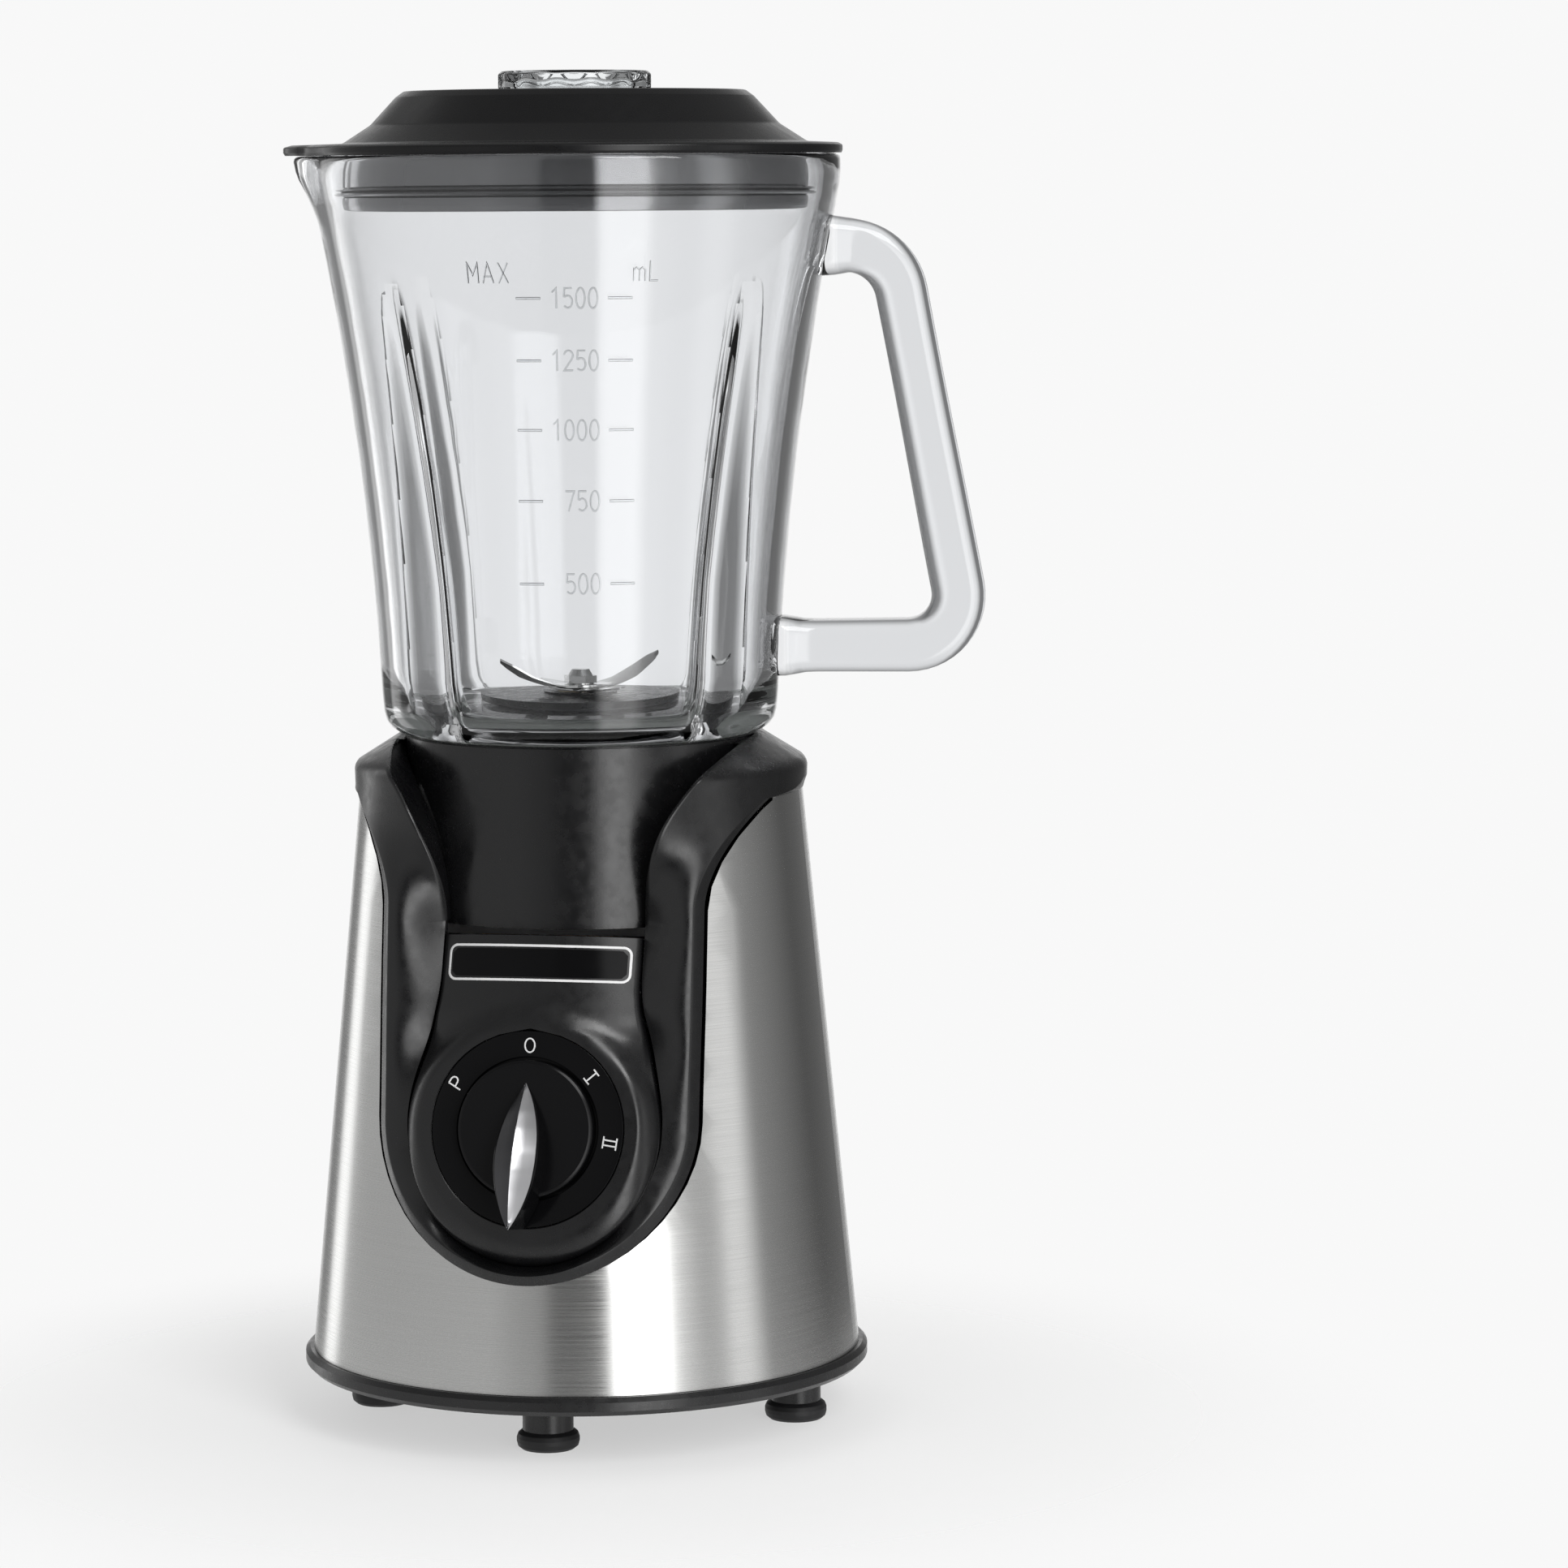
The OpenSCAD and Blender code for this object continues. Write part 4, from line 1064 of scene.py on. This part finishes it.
look, right = facing(VIEW_AZ)
cam_data = bpy.data.cameras.new("camera")
cam = bpy.data.objects.new("camera", cam_data)
bpy.context.scene.collection.objects.link(cam)
cam_data.sensor_width = SENSOR
cam_data.lens = SENSOR * FOCAL / IMAGE
cam_data.shift_y = SHIFT
cam_data.clip_end = 50
view_dir = look * math.cos(CAM_TILT) - UP * math.sin(CAM_TILT)
view_up = UP * math.cos(CAM_TILT) + look * math.sin(CAM_TILT)
rolled_right = right * math.cos(CAM_ROLL) - view_up * math.sin(CAM_ROLL)
rolled_up = view_up * math.cos(CAM_ROLL) + right * math.sin(CAM_ROLL)
rot = Matrix((rolled_right, rolled_up, -view_dir)).transposed().to_4x4()
cam.matrix_world = Matrix.Translation(-look * CAM_DIST + right * CAM_SIDE + UP * CAM_Z) @ rot
bpy.context.scene.camera = cam
bpy.context.scene.view_settings.view_transform = "Standard"

# The studio is one world: pale backdrop behind, softboxes and dark gaps around, by compass angle
# from the viewer's side (negative to the left), as (degrees, brightness).
ROUND = [
    (-180, 0.95), (-169, 0.95), (-159, 0.22), (-145, 0.25), (-141, 1.5), (-132, 1.5), (-127, 0.46), (-90, 0.46),
    (-40, 0.50), (-30, 0.40), (-18, 0.34), (-13, 0.10), (9, 0.10), (15, 3.5), (31, 3.5), (39, 0.9), (52, 0.5),
    (60, 0.55), (66, 1.0), (74, 1.0), (84, 0.30), (125, 0.10), (148, 0.14), (160, 0.22), (170, 0.95),
    (180, 0.95)]
RAMP_GAIN = 4.0  # the ramp holds colours up to 1, the brightness goes higher
OVERHEAD, UNDERNEATH, BACKDROP = 0.26, 0.35, 0.94
ahead, side = facing(math.radians(12.3))

world = bpy.data.worlds.new("studio")
bpy.context.scene.world = world
world.use_nodes = True
wt = world.node_tree
heading = node(wt, "TexCoord").outputs["Generated"]


def toward(direction):
    return node(wt, "VectorMath", {0: heading, 1: direction}, operation="DOT_PRODUCT").outputs["Value"]


def spread(value, a, b, lo, hi):
    inputs = {"From Min": a, "From Max": b, "To Min": lo, "To Max": hi, "Value": value}
    return node(wt, "MapRange", inputs, interpolation_type="SMOOTHSTEP").outputs["Result"]


def blend(fac, a, b):
    return node(wt, "Mix", {"Factor": fac, "A": a, "B": b}).outputs["Result"]


compass = node(wt, "Math", {0: toward(side), 1: toward(-ahead)}, operation="ARCTAN2").outputs[0]
around = node(wt, "MapRange", {"From Min": -math.pi, "From Max": math.pi, "Value": compass}).outputs["Result"]
band = node(wt, "ValToRGB", {"Fac": around})
band.color_ramp.interpolation = "LINEAR"
stops = band.color_ramp.elements
while len(stops) > 1:
    stops.remove(stops[-1])
for i, (degrees, brightness) in enumerate(ROUND):
    place = (degrees + 180) / 360
    stop = stops[0] if i == 0 else stops.new(place)
    stop.position = place
    stop.color = (*[brightness / RAMP_GAIN] * 3, 1)
height = toward(UP)
level = blend(spread(height, 0.12, 0.80, 0.0, 1.0), times(wt, band.outputs["Color"], RAMP_GAIN), OVERHEAD)
level = blend(spread(height, -0.75, -0.38, 1.0, 0.0), level, UNDERNEATH)
# What is seen through the glass is held between a floor and a ceiling, so the jar stays readable
# from every side; the ceiling is higher after a mirror bounce.
path = node(wt, "LightPath").outputs
ceiling = spread(path["Glossy Depth"], 0.0, 1.0, 1.0, 2.4)
held = node(wt, "Clamp", {"Min": 0.15, "Max": ceiling, "Value": level}).outputs["Result"]
level = blend(path["Transmission Depth"], level, held)
level = blend(path["Is Camera Ray"], level, BACKDROP)
feed(wt, wt.nodes["Background"], {"Strength": level, "Color": (1, 1, 1, 1)})


def area_light(name, size, energy, azimuth, distance, height, aim_z, hidden_from):
    """Softbox on the viewer's side, azimuth degrees to the right, aimed at the axis."""
    data = bpy.data.lights.new(name, "AREA")
    data.shape = "RECTANGLE"
    data.size, data.size_y = size
    data.energy = energy
    ob = bpy.data.objects.new(name, data)
    bpy.context.scene.collection.objects.link(ob)
    for rays in hidden_from:
        setattr(ob, "visible_" + rays, False)
    a = math.radians(azimuth)
    at = (-ahead * math.cos(a) + side * math.sin(a)) * distance + UP * height
    aim = (UP * aim_z - at).to_track_quat("-Z", "Y")
    ob.matrix_world = Matrix.Translation(at) @ aim.to_matrix().to_4x4()


area_light("key", (0.7, 1.2), 13.0, 24, 1.6, 1.1, 0.2, ("glossy", "transmission"))
area_light("spark", (0.75, 0.75), 11.0, 34, 1.1, 1.35, 0.15, ("diffuse", "transmission", "camera"))

# The floor only catches the shadow: it fades out a little way round the feet.
floor_mat, nt, p = material("floor_pale")
obj = object_coord(nt)
tint(nt, noise(nt, obj, 3.0), (0.90, 0.90, 0.90), (0.93, 0.93, 0.93), p.inputs["Base Color"])
feed(nt, p, {"Roughness": 0.7, "Specular IOR Level": 0.1, "Emission Color": (1, 1, 1, 1),
             "Emission Strength": 0.30})
from_axis = node(nt, "VectorMath", {0: obj}, operation="LENGTH").outputs["Value"]
fading = {"From Min": 0.09, "From Max": 0.26, "To Min": 0.65, "To Max": 0.0, "Value": from_axis}
fade = node(nt, "MapRange", fading, interpolation_type="SMOOTHSTEP").outputs["Result"]
seen = node(nt, "MixShader", {0: fade, 1: node(nt, "BsdfTransparent").outputs[0], 2: p.outputs[0]})
feed(nt, nt.nodes["Material Output"], {0: seen.outputs[0]})
v, f = lathe([(r, 0) for r in (0, 60, 120, 200, 300)], 72, closed=False)
floor = make("studio_floor", v, f, None, floor_mat, outward=False)
if floor.data.polygons[0].normal.z < 0:
    floor.data.flip_normals()
